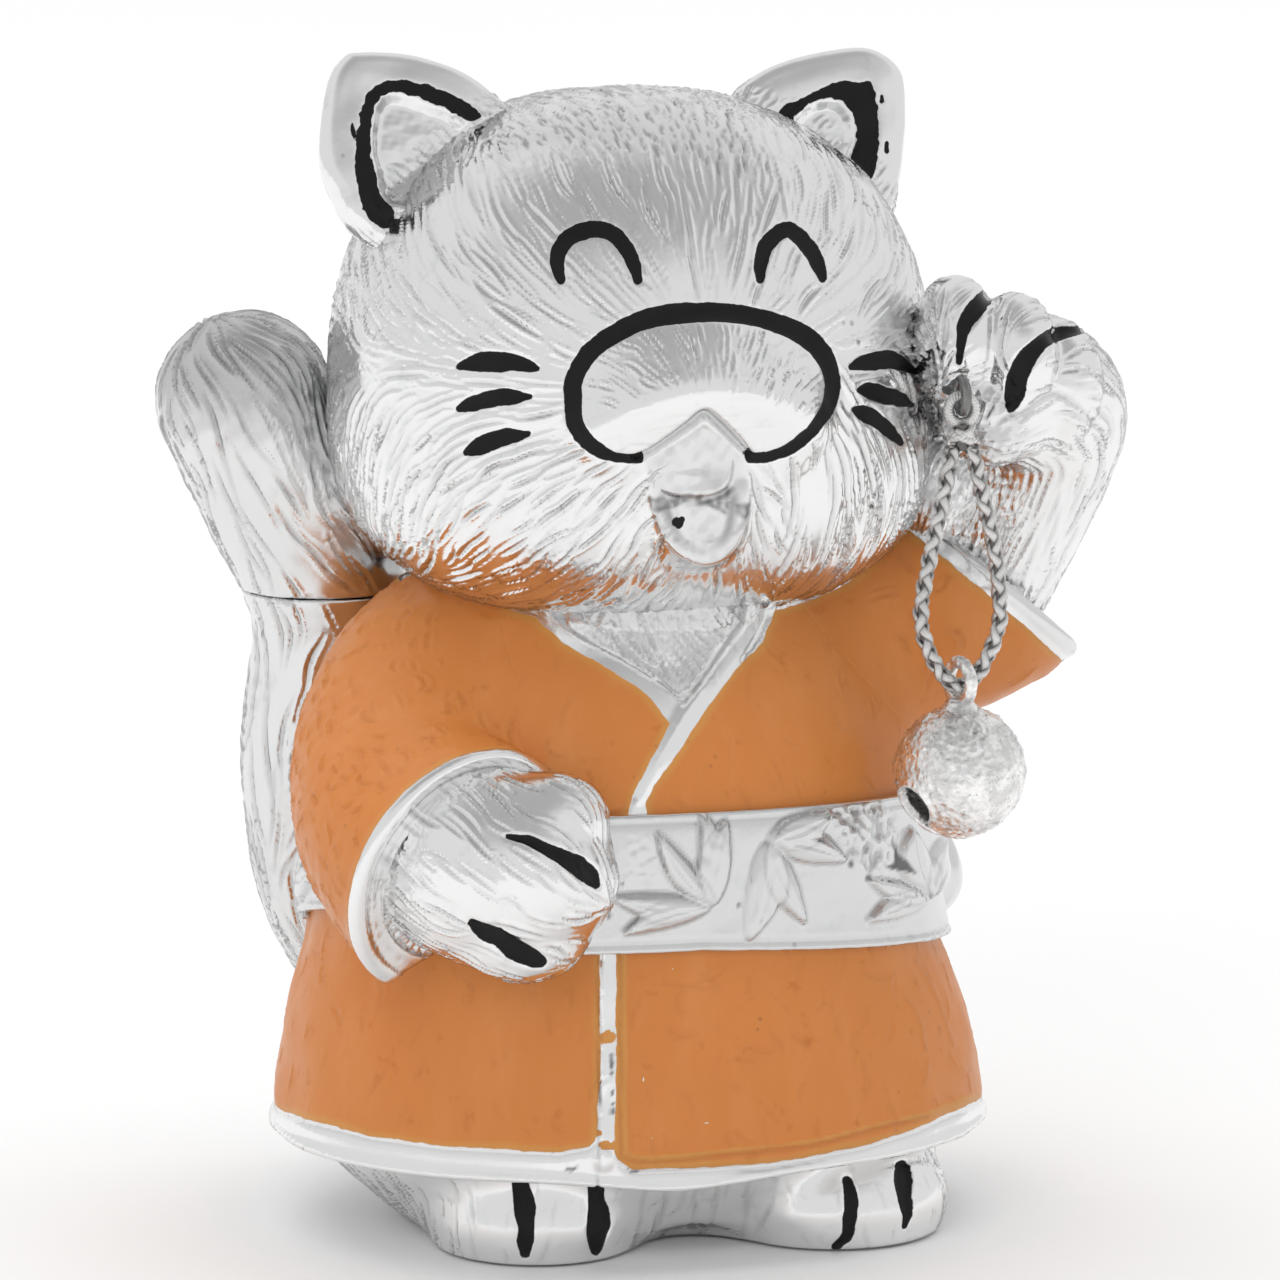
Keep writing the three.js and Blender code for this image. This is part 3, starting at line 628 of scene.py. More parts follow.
def cord_material():
    m = Nodes("silver_braid")
    fibre = m.noise(5200, 3.0, 0.65)
    tone = m.mix(m.noise(700, 3.0), (0.54, 0.535, 0.53), (0.88, 0.875, 0.87))
    tone = m.mix(m.math("MULTIPLY", m.fit(fibre, 0.55, 0.75), 0.6), tone, (0.38, 0.35, 0.32))
    # painted shade: strands go dark where they pass under others, where they press on neighbours, and on the hidden
    # core
    tone = m.mix(m.math("MULTIPLY", m.attr("under_shade"), 0.9), tone, (0.085, 0.078, 0.072))
    m.link(tone, "Base Color")
    m.link(m.fit(m.noise(1200, 3.0, seed=2.0), 0.35, 0.65, 0.70, 0.95), "Metallic")
    m.link(m.fit(fibre, 0.3, 0.7, 0.24, 0.42), "Roughness")
    m.link(m.bump(fibre, 0.5, 0.00006), "Normal")
    return m.mat


PLATED, COATED, STARDUST, BRAID = plated_material(), coat_material(), bell_material(), cord_material()
WIRE = wire_material("dull_wire", (0.10, 0.10, 0.10), (0.42, 0.415, 0.41), 0.24, 0.46)
STEEL = wire_material("brushed_steel", (0.42, 0.42, 0.425), (0.56, 0.56, 0.56), 0.32, 0.5)

# ---------------------------------------------------------------- cord, its tie and the bell
EYE = vec(25.9, -28.6, 85.4)
BELL, BELL_R = vec(25.9, -28.6, 48.4), 6.45
CORD_D, LOOP_Z, LOOP_R, LOOP_WIRE = 2.1, 57.2, 1.95, 0.5
TIE_Z, TIE_R = 81.35, 1.45
TOP, LOW = TIE_Z - TIE_R * 0.75, LOOP_Z + LOOP_R - 2 * LOOP_WIRE - 0.3 - CORD_D / 2
ROUTE = [(-1.0, TOP), (-1.7, TOP - 4.2), (-3.0, TOP - 10), (-4.0, TOP - 15.5), (-3.6, LOW + 4.6), (-1.9, LOW + 1.3), (0, LOW),
         (1.9, LOW + 1.3), (3.7, LOW + 5), (4.0, TOP - 15.5), (3.4, TOP - 10), (2.0, TOP - 4.2), (1.1, TOP)]


def resample(P, h):
    s = np.concatenate([[0], np.cumsum(np.linalg.norm(np.diff(P, axis=0), axis=1))])
    t = np.linspace(0, s[-1], max(int(round(s[-1] / h)), 2) + 1)
    return np.stack([np.interp(t, s, P[:, i]) for i in range(3)], 1), t


def braid(line, length, D, pitch, sides=8):
    """Four plump strands plaited over and under round a line, and how much painted shade each point gets where strands
    pass under one another.
    """
    T = unit(np.gradient(line, axis=0))
    X = unit(np.cross(T, [0, 1.0, 0]))
    Y = np.cross(T, X)
    k = 2 * math.pi / pitch
    parts, under_shade = [], []
    for way in (1, -1):
        for i in range(2):
            phi = way * k * length + i * math.pi + (math.pi / 2 if way < 0 else 0)
            over = way * np.cos(2 * k * length + math.pi / 2)
            rad = D / 2 - 0.36 + 0.15 * over
            out = X * np.cos(phi)[:, None] + Y * np.sin(phi)[:, None]
            v, f = tube(line + out * rad[:, None], 0.25, sides, flat=0.43, spin=out)
            parts.append((v, f))
            # painted shade on a strand where it passes under, and on its edges where it presses on its neighbours
            ring_ = np.repeat(np.clip(-over, 0, 1) ** 1.5, sides)
            low = np.repeat(phi * 0, sides) + 0.55 * np.tile(np.clip(np.abs(np.sin(np.arange(sides) / sides * 2 * math.pi)) - 0.55, 0, 1) / 0.45, len(line))
            under_shade.append(np.concatenate([np.maximum(ring_, low), [1.0, 1.0]]))
    # the core between the strands is painted fully in shade
    v, f = tube(line, D / 2 - 0.45, 8)
    parts.append((v, f))
    under_shade.append(np.ones(len(v)))
    V, F = join(parts)
    return V, F, np.concatenate(under_shade)


line = catmull([(EYE[0] + x, EYE[1], z) for x, z in ROUTE], 16)
line, run = resample(line, 0.2 * COARSE)
V, F, under_shade = braid(line, run, CORD_D - 0.42, 5.2)
cord = make_object("braided_cord", V, F, BRAID, "cord", ["bell_cord"], {"under_shade": under_shade})

# tie: a small loop of two plies through the eyelet, wrapped under it
a = np.linspace(0, 2 * math.pi, 97)[:-1]
ring = np.stack([EYE[0] + 1.35 * np.sin(a), np.full(96, EYE[1]), EYE[2] - 1.35 + 1.35 * np.cos(a)], 1)
rad = np.stack([np.sin(a), 0 * a, np.cos(a)], 1)
plies = []
for i in range(3):
    ph = 9 * a + i * 2 * math.pi / 3
    plies.append(tube(ring + 0.26 * (rad * np.cos(ph)[:, None] + vec(0, 1, 0) * np.sin(ph)[:, None]), 0.29, 8, closed=True))
t = np.linspace(0, 1, 150)
for k, (turns, lean) in enumerate(((1.4, 0.9), (-1.4, 0.9), (0.9, 0.35))):
    w = 2 * math.pi * turns * t + k * 1.9
    swell = 0.62 + 0.24 * np.sin(math.pi * t)
    coil = np.stack([EYE[0] + swell * np.cos(w), EYE[1] + swell * np.sin(w), TIE_Z + (1.5 - 3.0 * t) * lean], 1)
    for i in range(2):
        ph = 22 * t * math.pi + i * math.pi
        o = unit(np.stack([np.cos(w), np.sin(w), 0 * w], 1))
        plies.append(tube(coil + 0.17 * (o * np.cos(ph)[:, None] + vec(0, 0, 1) * np.sin(ph)[:, None]), 0.27, 8))
core = np.stack([np.full(12, EYE[0]), np.full(12, EYE[1]), np.linspace(TIE_Z - 1.3, TIE_Z + 1.3, 12)], 1)
plies.append(tube(core, 0.62, 12))
V, F = join(plies)
# painted shade on the core and the plies near the axis, inside the wrap and below its top
near_axis = np.hypot(V[:, 0] - EYE[0], V[:, 1] - EYE[1])
tie = make_object("cord_tie", V, F, BRAID, "tie", ["cord_knot"], {"under_shade": step(near_axis, 0.86, 0.6) * step(V[:, 2], TIE_Z + 1.8, TIE_Z + 1.4)})

# wire loop of the bell
a = np.linspace(0, 2 * math.pi, 65)[:-1]
ring = np.stack([BELL[0] + LOOP_R * 0.276 * np.sin(a), BELL[1] - LOOP_R * 0.961 * np.sin(a), LOOP_Z + LOOP_R * np.cos(a)], 1)
stem = np.stack([np.full(9, BELL[0]), np.full(9, BELL[1]), np.linspace(BELL[2] + BELL_R - 1.6, LOOP_Z - LOOP_R + 0.2, 9)], 1)
collar = np.stack([np.full(15, BELL[0]), np.full(15, BELL[1]), np.linspace(BELL[2] + BELL_R - 0.45, BELL[2] + BELL_R + 0.8, 15)], 1)
V, F = join([tube(ring, LOOP_WIRE + 0.14, 24, closed=True), tube(stem, 0.6, 14), tube(collar, 2.3 - 1.15 * np.linspace(0, 1, 15) ** 0.7, 32)])
V = V + 0.05 * np.stack([waves(V, 0.9, 12), waves(V, 1.1, 13), waves(V, 1.0, 14)], 1)
loop = make_object("bell_wire_loop", V, F, STARDUST, "bell", ["bell_loop"])

# bell: two rough plated cups; the lower one has a slot with round ends
SLOT = unit(vec(-0.93, -0.36, 0))
ACROSS = vec(-SLOT[1], SLOT[0], 0)


def bell_field(p):
    q = p - BELL
    r = np.linalg.norm(q, axis=1)
    d = np.abs(r - (BELL_R - 0.3)) - 0.3
    x, y = q @ SLOT, q @ ACROSS
    low = q[:, 2] < 0.5
    slit = np.maximum(np.abs(y) - 0.7, np.abs(x) - 5.9)
    hole = np.minimum(np.linalg.norm(q - SLOT * 5.9 + vec(0, 0, 3.0), axis=1), np.linalg.norm(q + SLOT * 5.9 + vec(0, 0, 3.0), axis=1)) - 2.05
    gap = smin(np.where(q[:, 2] < -1.0, slit, 9.0), hole, 0.3)
    lip = np.where(low, 0.22 * np.exp(-((gap - 0.25) / 0.35) ** 2), 0.0)
    return smax(d - lip, np.where(low, -gap, -9.0), 0.25)


def rough_skin(V, seed):
    r = np.random.default_rng(seed)
    P = unit(r.normal(size=(2600, 3))) * BELL_R + BELL
    kd = kd_of(V)
    out = np.zeros(len(V))
    for p, h, w in zip(P, r.uniform(-0.09, 0.12, len(P)), r.uniform(0.22, 0.5, len(P))):
        for co, i, d in kd.find_range(p, w):
            out[i] += h * (1 - (d / w) ** 2) ** 2
    return np.where(np.linalg.norm(V - BELL, axis=1) > BELL_R - 0.25, out, 0)


for name, node, sign, seed in (("bell_cup_upper", "bell_upper_half", 1, 3), ("bell_cup_lower", "bell_lower_half", -1, 4)):
    f = (lambda p, sign=sign: np.maximum(bell_field(p), -0.3 - sign * (p[:, 2] - BELL[2])))
    lo = BELL - 7.2 if sign < 0 else BELL - vec(7.2, 7.2, 0.9)
    hi = BELL + 7.2 if sign > 0 else BELL + vec(7.2, 7.2, 0.9)
    V, Q, N = surface(f, lo, hi, 0.2)
    V = V + unit(V - BELL) * rough_skin(V, 3)[:, None]
    ob = make_object(name, V, Q, STARDUST, "bell", [node])

PELLET = BELL + vec(0, 0, -BELL_R + 0.6 + 1.9 + 0.3)
f = lambda p: np.linalg.norm(p - PELLET, axis=1) - 1.88 - 0.03 * waves(p, 1.6, 11)
V, Q, N = surface(f, PELLET - 2.3, PELLET + 2.3, 0.16)
pellet = make_object("bell_ball", V, Q, STEEL, "pellet", ["bell_pellet"])

ROUTE_M = [tuple(float(x) for x in p * MM) for p in line[:: max(len(line) // 120, 1)]]
if ROUTE_M[-1] != tuple(float(x) for x in line[-1] * MM):
    ROUTE_M.append(tuple(float(x) for x in line[-1] * MM))

# eyelet in the finger tip
a = np.linspace(0, 2 * math.pi, 65)[:-1]
ring = np.stack([np.full(64, EYE[0]), EYE[1] + 1.55 * np.cos(a), EYE[2] + 1.55 * np.sin(a)], 1)
shank = np.stack([np.full(10, EYE[0]), np.linspace(EYE[1] + 1.5, EYE[1] + 8.6, 10), np.full(10, EYE[2])], 1)
V, F = join([tube(ring, 0.5, 14, closed=True), tube(shank, 0.55, 14)])
make_object("finger_eyelet", V, F, WIRE, "figure", ["paw_eyelet"])

# ---------------------------------------------------------------- head
HEAD_C = vec(0, 0, 83)
OUTLINE = [(640, 459, 3.5), (615, 457, 4), (598, 450, 6), (583, 437, 7), (574, 420, 7.5), (573, 400, 8), (574, 380, 8), (588, 354, 8), (611, 336, 8.5),
           (644, 320, 9), (687, 312.5, 9.2), (740, 314.5, 8.2), (776, 323, 8.5), (803.5, 335, 9), (823, 354, 8.5), (832.5, 378, 7.5), (830, 402, 6.5),
           (816, 426, 5), (796, 445, 5), (772, 456, 4.5), (750, 458, 4)]
EYES = [[(561, 280, 3.5), (557, 264, 6.2), (560, 249, 7.2), (571, 236, 7.6), (595, 229, 7.6), (613, 234, 7.4), (626, 248, 7), (634, 264, 6), (638, 280, 3.2)],
        [(760, 279, 3.2), (761, 262, 6), (766, 246, 7), (777, 234, 7.2), (789, 229, 6.4), (801, 238, 7), (812, 252, 7), (819, 266, 6), (823, 279, 3)]]
WHISKERS = [[(538, 369, 1.5), (527, 366, 5.4), (512, 362, 7.4), (498, 362, 9.5), (483, 362, 9), (469, 364, 5.8), (459, 367, 2.2)],
            [(529, 397, 2), (512, 397, 6.6), (502, 397, 7.8), (482, 401, 7), (472, 404, 6.6), (459, 409, 2.5)],
            [(528, 434, 2), (514, 436, 5.6), (504, 437, 7.8), (487, 443, 8.1), (478, 447, 7.4), (466, 452, 2.5)],
            [(852, 367, 2), (864, 363, 6.6), (883, 360, 8.6), (892, 360, 8), (902, 364, 6), (915, 372, 2)],
            [(860, 390, 2.5), (871, 391, 7.6), (886, 396, 7.6), (894, 397, 6.8), (901, 400, 5.8), (912, 405, 2)],
            [(855, 410, 2.5), (865, 414, 7.3), (879, 422, 6.4), (891, 433, 5.5), (901, 443, 2)]]
LIP = np.concatenate([catmull([(641, 458), (646, 478), (650, 499), (659, 528), (676, 552), (702, 564), (723, 559), (740, 541), (747, 511), (750, 478), (748, 456)], 4), [(725, 434), (704, 420), (688, 431), (670, 443)]])


def head_field(p):
    q = p - HEAD_C
    n = 2.4 + 0.32 * step(-q[:, 2], 0, 14)
    b = np.where(q[:, 1] < 0, 29.0, 26.0)
    c = np.where(q[:, 2] > 0, 30.0, 21.8)
    d = (((np.abs(q[:, 0]) / 29.6) ** n + (np.abs(q[:, 1]) / b) ** n + (np.abs(q[:, 2]) / c) ** n) ** (1 / n) - 1) * 26
    x2 = p[:, 0] ** 2
    m = ell(p, (0, -24.0, 84.6), (14.4, 10.2, 10.4))
    m = smax(m, -0.88 * (p[:, 1] + 33.2 - 0.020 * x2) + 0.47 * (p[:, 2] - 87.6 + 0.030 * x2), 2.0)
    m = smax(m, -0.93 * (p[:, 1] + 33.1 - 0.020 * x2) - 0.37 * (p[:, 2] - 87.3 + 0.030 * x2), 1.1)
    d = smin(d, m, 0.8)
    d = smin(d, ell(p, (0, -25.7, 76.6), (5.9, 5.0, 7.4)), 1.1)
    return smax(d, 63.7 - p[:, 2], 0.5)


def head_warp(c):
    s = np.interp(c[:, 1], [-36, -26, -10, 10, 28], [0.63, 0.67, 0.87, 1.25, 1.6])
    return np.stack([c[:, 0] * s, c[:, 1], 86 + (c[:, 2] - 86) * s], 1)


def head_flow(p, n):
    r = p - vec(0, -35, 87.5)
    lift = 0.55 * np.clip((p[:, 2] - 88) / 22, 0, 1) + 0.25 * np.clip(np.abs(p[:, 0]) / 30, 0, 1) * np.clip((p[:, 2] - 78) / 12, 0, 1)
    droop = np.clip((p[:, 1] - 2) / 20, 0, 1)
    hang = 0.9 * np.clip((np.abs(p[:, 0]) - 19) / 9, 0, 1) * np.clip((90 - p[:, 2]) / 8, 0, 1)
    w = unit(r) + vec(0, 0, 1) * (lift * (1 - droop) - 1.4 * droop - hang)[:, None]
    w = w + 0.12 * np.cross(n, w) * waves(p, 26, 21)[:, None]
    return w


rng = np.random.default_rng(101)
V, Q, N = surface(head_field, (-37, -37, 48), (37, 29, 121), 0.335, head_warp, 1.6)
area = vertex_area(V, Q)
U_, V_ = pixel(V)
front = (N @ BACK) > 0.03
black = np.full(len(V), 9.0)
for rows in [OUTLINE, *EYES, *WHISKERS]:
    black = np.minimum(black, np.where(front, trace(U_, V_, rows) * PX, 9.0))
muzzle = patch(U_, V_, [(r[0], r[1]) for r in OUTLINE]) * PX
muzzle = np.where(front, muzzle, 9.0)
mouth = np.where(front & (V[:, 1] < -20), patch(U_, V_, LIP), 99.0)
paint_bed = step(black, 0.25, -0.25)

kd = kd_of(V)
groove, ridge = np.zeros(len(V)), np.zeros(len(V))
open_skin = (black > 0.55) & (muzzle > 0.9) & (mouth > 7)
face = V[:, 1] < 6
low = step(V[:, 2], 83.5, 77.5) * step(np.abs(V[:, 0]) + 0.25 * (80 - V[:, 2]), 4, 8)
edge_on = step(N @ BACK, 0.55, 0.2) * face
cheek = open_skin & (V[:, 0] > 8) & (V[:, 2] < 86.5) & (U_ > 770) & (V[:, 1] < 4) & front
# fine strokes over brow and cheeks
s = scatter(V, area, 1.75, rng, open_skin * face * ~cheek * np.where(low > 0.4, 0.05, 1.0) * (1 - 0.85 * edge_on))
fur(head_field, V, kd, s, head_flow, 6.0, 0.26, 0.11, groove, ridge, rng, 1.0, bend=0.45)
s = scatter(V, area, 3.2, rng, open_skin * face * ~cheek * (low < 0.4) * (1 - 0.7 * edge_on))
fur(head_field, V, kd, s, head_flow, 9.0, 0.34, 0.21, groove, ridge, rng, 1.0, bend=0.5)
# longer locks on the lower cheeks and jaw
s = scatter(V, area, 1.75, rng, open_skin * ~cheek * (low > 0.3) * (V[:, 1] < 14) * (1 - 0.85 * edge_on))
fur(head_field, V, kd, s, head_flow, 6.5, 0.31, 0.26, groove, ridge, rng, 0.95, bend=0.55)
# long parallel locks on the cheek under the raised paw
s = scatter(V, area, 2.3, rng, cheek * (1 - 0.6 * edge_on))
cheek_way = lambda p, n: np.stack([0.75 * np.clip((p[:, 2] - 74) / 10, 0, 1) - 0.12, 0.35 + 0 * p[:, 0], -np.ones(len(p))], 1)
fur(head_field, V, kd, s, cheek_way, 9.5, 0.36, 0.24, groove, ridge, rng, 1.0, bend=0.2)
# back of the head
s = scatter(V, area, 2.1, rng, (~face).astype(float))
fur(head_field, V, kd, s, head_flow, 8.0, 0.45, 0.22, groove, ridge, rng, 0.5)
# tuft between the ears
tufts = (U_ > 490) & (U_ < 765) & (V_ < 132) & front & (V[:, 2] > 100)
s = scatter(V, area, 1.5, rng, tufts.astype(float))
fur(head_field, V, kd, s, lambda p, n: np.stack([0.03 * p[:, 0], 1 + 0 * p[:, 0], 0.8 + 0 * p[:, 0]], 1), 5.0, 0.3, 0.16, groove, ridge, rng, 1.0, bend=0.5)
# fan of short strokes over the muzzle, above its crest
crest = np.interp(U_, [575, 618, 656, 685, 708, 735, 763, 807, 830], [420, 406, 392, 386, 383, 390, 403, 415, 425])
fan = (muzzle < -1.0) & (V_ < crest - 6) & front
s = scatter(V, area, 1.35, rng, fan.astype(float))
fan_way = lambda p, n: np.stack([np.sin(p[:, 0] / 9), 0 * p[:, 0], np.cos(p[:, 0] / 9)], 1)
fur(head_field, V, kd, s, fan_way, 3.0, 0.23, 0.17, groove, ridge, rng, 1.0, bend=0.4)
pads = (muzzle < -0.8) & (V_ > crest + 3) & front & (mouth > 4)
s = scatter(V, area, 2.2, rng, pads.astype(float))
fur(head_field, V, kd, s, lambda p, n: np.stack([np.sign(p[:, 0] + 0.01), 0 * p[:, 0], -0.03 * np.abs(p[:, 0])], 1), 4.6, 0.25, 0.035, groove, ridge, rng, 0.9, bend=0.3)
dry = step(black, 0.1, 0.5)
groove, ridge = groove * dry, ridge * dry

disp = ridge - groove
disp -= 0.12 * paint_bed
# cleft of the lip, the mouth and the tongue
cleft = np.where(front, trace(U_, V_, [(634, 459, 2), (652, 452, 3), (672, 439, 3.5), (690, 426, 4), (705, 415, 4.2), (718, 424, 4.5), (733, 439, 4.5), (748, 454, 3)]), 99.0)
disp -= 0.8 * step(cleft, 3.5, -4.0)
inside = step(mouth, 0.5, -8.0)
well = step(mouth, -6.0, -17.0)
pad_r = (np.abs((U_ - 691) / 47) ** 2.8 + np.abs((V_ - 464) / 35) ** 2.8) ** (1 / 2.8)
tongue = step(pad_r, 1.04, 0.84) * front
rim = np.exp(-((mouth + 4.5) / 4.8) ** 2) * step(V_, 455, 495)
bowl = np.clip(1 - ((U_ - 697) / 36) ** 2 - ((V_ - 522) / 25) ** 2, 0, 1)
ripple = np.exp(-((V_ - 476) / 5.0) ** 2) * step(np.abs(U_ - 684), 24, 8) + 0.7 * np.exp(-(np.hypot(U_ - 686, (V_ - 460) * 1.2) / 8) ** 2)
disp += np.where(mouth < 40, -0.25 * inside + well * (-0.46 + 0.70 * tongue - 0.10 * bowl) + 0.13 * tongue * ripple + 0.55 * rim, 0)
# hairline: a low step from ear to ear with a tuft behind it
hair = np.interp(U_, [470, 505, 560, 620, 690, 745, 790], [146, 131, 122, 116, 109, 102, 98])
tuft = np.where(front, step(V_, hair + 3, hair - 4), 0.0) * step(np.abs(U_ - 622), 132, 112)
disp += 0.16 * tuft
# painted shade: a dark band below the hairline step, whose tick strokes are darkened fully
band_mid = np.interp(U_, [490, 530, 580, 620, 670, 720, 765], [146, 138, 131, 128, 131, 140, 165])
band_half = np.interp(U_, [470, 500, 560, 620, 670, 720, 770], [7, 11, 13, 16, 21, 20, 18])
under_shade = np.where(front, np.exp(-((V_ - band_mid) / band_half) ** 2), 0.0) * step(U_, 478, 505) * step(U_, 785, 735)
ticks, tick_sides = np.zeros(len(V)), np.zeros(len(V))
s = scatter(V, area, 0.95, rng, under_shade * (under_shade > 0.15) * (0.2 + 0.8 * step(waves(V, 8, 32), -0.3, 0.6)))
fur(head_field, V, kd, s, lambda p, n: np.stack([0.03 * p[:, 0], 1 + 0 * p[:, 0], 0.8 + 0 * p[:, 0]], 1), 2.6, 0.23, 0.18, ticks, tick_sides, rng, 0.5, bend=0.5)
disp -= 0.8 * ticks
# darkness of the head's plating: engraved grooves, then painted shade
groove_and_shade_mark = np.clip(groove / 0.30, 0, 1) * 0.62
groove_and_shade_mark = np.maximum(groove_and_shade_mark, np.clip(ticks / 0.14, 0, 1) * 1.0)
groove_and_shade_mark = np.maximum(groove_and_shade_mark, 0.26 * under_shade)
# painted shade in the mouth: under the tongue pad, on its flanks, over the whole recess, under the pad and the rim, and
# in the lip's cleft
lowlip_shade = np.exp(-((pad_r - 1.12) / 0.17) ** 2) * step(V_, 476, 492) * well
flank = np.exp(-((mouth + 12.0) / 4.0) ** 2) * step(V_, 484, 502) * (0.4 + 0.6 * step(np.abs(U_ - 697), 12, 34))
groove_and_shade_mark = np.maximum(groove_and_shade_mark, np.where(mouth < 2, 1.5 * lowlip_shade * (0.75 + 0.25 * waves(V, 1.2, 36)), 0))
groove_and_shade_mark = np.maximum(groove_and_shade_mark, np.where(mouth < 2, 1.1 * flank, 0))
groove_and_shade_mark = np.maximum(groove_and_shade_mark, np.where(mouth < 2, inside * (0.26 + 0.2 * np.clip(waves(V, 1.7, 37), 0, 1)), 0))
pad_shadow = np.where(front, trace(U_, V_, [(651, 498, 3), (656, 504, 7), (668, 504, 8), (684, 499, 5.5), (700, 499, 5), (716, 505, 5.5), (728, 508, 7.5), (739, 511, 9), (747, 506, 4)]), 99.0)
groove_and_shade_mark = np.maximum(groove_and_shade_mark, np.where(mouth < 2, 1.4 * step(pad_shadow, 2.5, -3.0) * np.clip(0.8 + 0.3 * waves(V, 0.8, 38), 0, 1), 0))
rim_shadow = np.where(front, trace(U_, V_, [(655, 512, 3.5), (662, 526, 3.5), (673, 538, 3), (690, 545, 2.5), (710, 546, 2.5), (726, 540, 3), (737, 528, 2.5), (744, 515, 3.5)]), 99.0)
groove_and_shade_mark = np.maximum(groove_and_shade_mark, np.where(mouth < 2, 0.8 * step(rim_shadow, 2.0, -2.5) * np.clip(0.75 + 0.35 * waves(V, 0.9, 39), 0, 1), 0))
groove_and_shade_mark = np.maximum(groove_and_shade_mark, 0.7 * step(cleft, 2.0, -3.5))
speck = np.where(front, np.minimum(np.hypot(U_ - 674, V_ - 524) - 3.2, np.minimum(np.hypot(U_ - 680, V_ - 523) - 3.0, np.hypot(U_ - 678, V_ - 528) - 3.0)), 99) * PX
black = np.minimum(black, speck)
disp += 0.04 * waves(V, 7.0, 41)
make_object("head_casting", V + N * disp[:, None], Q, PLATED, "figure", ["head_shell"], {"black": black, "groove": groove_and_shade_mark})

# ---------------------------------------------------------------- ears
EZ = unit(vec(-0.0383, -0.9264, 0.3746))
EX = unit(vec(0.7464, -0.2758, -0.6057))
EY = np.cross(EZ, EX)
EO = {-1: vec(19.5, -2.6, 106.6), 1: vec(19.5, -0.9, 106.6)}


LEAF = {-1: [(10.45, -3.2), (10.97, 2.2), (9.97, 5.3), (8.91, 7.74), (6.31, 10.46), (3.12, 12.78), (0.76, 14.03), (-1.24, 14.27), (-2.48, 13.82), (-5.74, 10.6), (-7.23, 8.55), (-8.62, 5.67), (-9.36, 2.89), (-9.61, 0.35), (-9.79, -3.26)],
        1: [(9.7, -3.2), (9.77, -0.25), (8.83, 1.81), (7.56, 4.49), (5.43, 8.2), (2.86, 11.61), (1.27, 12.75), (-0.75, 12.94), (-2.78, 12.18), (-5.16, 9.85), (-7.3, 7.08), (-8.95, 4.33), (-9.81, 2.0), (-10.17, -0.4), (-10.09, -4.34)]}
for side in LEAF:
    LEAF[side] = np.concatenate([catmull(LEAF[side], 3), [(-4, -9)], [(4, -9)]])


def ear_local(p, side):
    return (p * vec(side, 1, 1) - EO[side]) @ np.stack([EX, EY, EZ], 1)


def ear_field(side):
    def f(p):
        e = ear_local(p, side)
        d2 = patch(e[:, 0], e[:, 1], LEAF[side])
        thick = 2.35 - 0.55 * step(e[:, 1], 2, 13)
        z = e[:, 2] + 2.1
        return smax(d2, np.abs(z) - thick, 2.2)
    return f


EAR_BAND = {-1: [(482, 117), (478, 111), (460, 98), (435, 87), (405, 79.5), (388, 80), (375, 85), (366, 95), (361, 110), (358, 128), (356, 145), (355, 165), (358, 190), (363, 208), (369, 219), (382, 229), (393, 227), (392, 215), (387, 207),
                 (380, 195), (376, 172), (371, 155), (370, 132), (374, 107), (381, 96), (390, 92.5), (402, 92.5), (422, 99), (450, 110), (470, 122)],
            1: [(775, 119), (784, 106), (800, 99), (815, 92), (830, 84), (846, 81), (860, 82), (871, 81), (875, 92), (878, 110), (879, 130), (878, 150), (876, 168), (870, 184), (863, 177), (856, 168), (852, 158), (856, 143), (857, 130),
                (854, 117), (848, 107), (840, 100), (830, 97), (817, 100), (805, 107), (797, 114), (790, 126)]}
EAR_PAINT = {-1: [[(396, 224, 3), (405, 218, 4), (415, 211, 2.5)], [(421, 207, 2), (431, 203, 3), (437, 197, 1.6)], [(352, 124, 0.5), (353, 132, 1.0), (356, 140, 0.7)]],
             1: [[(853, 176, 1.6), (838, 168, 1.9), (822, 158, 1.5), (806, 146, 1.2), (790, 132, 1.4), (779, 122, 1.6)], [(801, 152, 0.8), (820, 166, 1.2), (845, 180, 1.2), (866, 192, 0.8)], [(882, 96, 1), (882, 101, 1.4)], [(887, 143, 1), (887, 152, 1.2)]]}
EAR_DISH = {-1: [(470, 122), (450, 110), (422, 99), (402, 92), (390, 92), (381, 95), (374, 107), (370, 132), (371, 155), (376, 172), (380, 195), (387, 207), (412, 214), (442, 197), (485, 167)],
            1: [(790, 126), (797, 114), (805, 107), (817, 100), (830, 97), (840, 100), (848, 107), (854, 117), (857, 130), (856, 143), (852, 158), (860, 180), (838, 172), (810, 150)]}
EAR_BROW = {-1: ((385, 190), (0.56, 0.83), 34.0), 1: ((784, 118), (-0.524, 0.852), 14.0)}
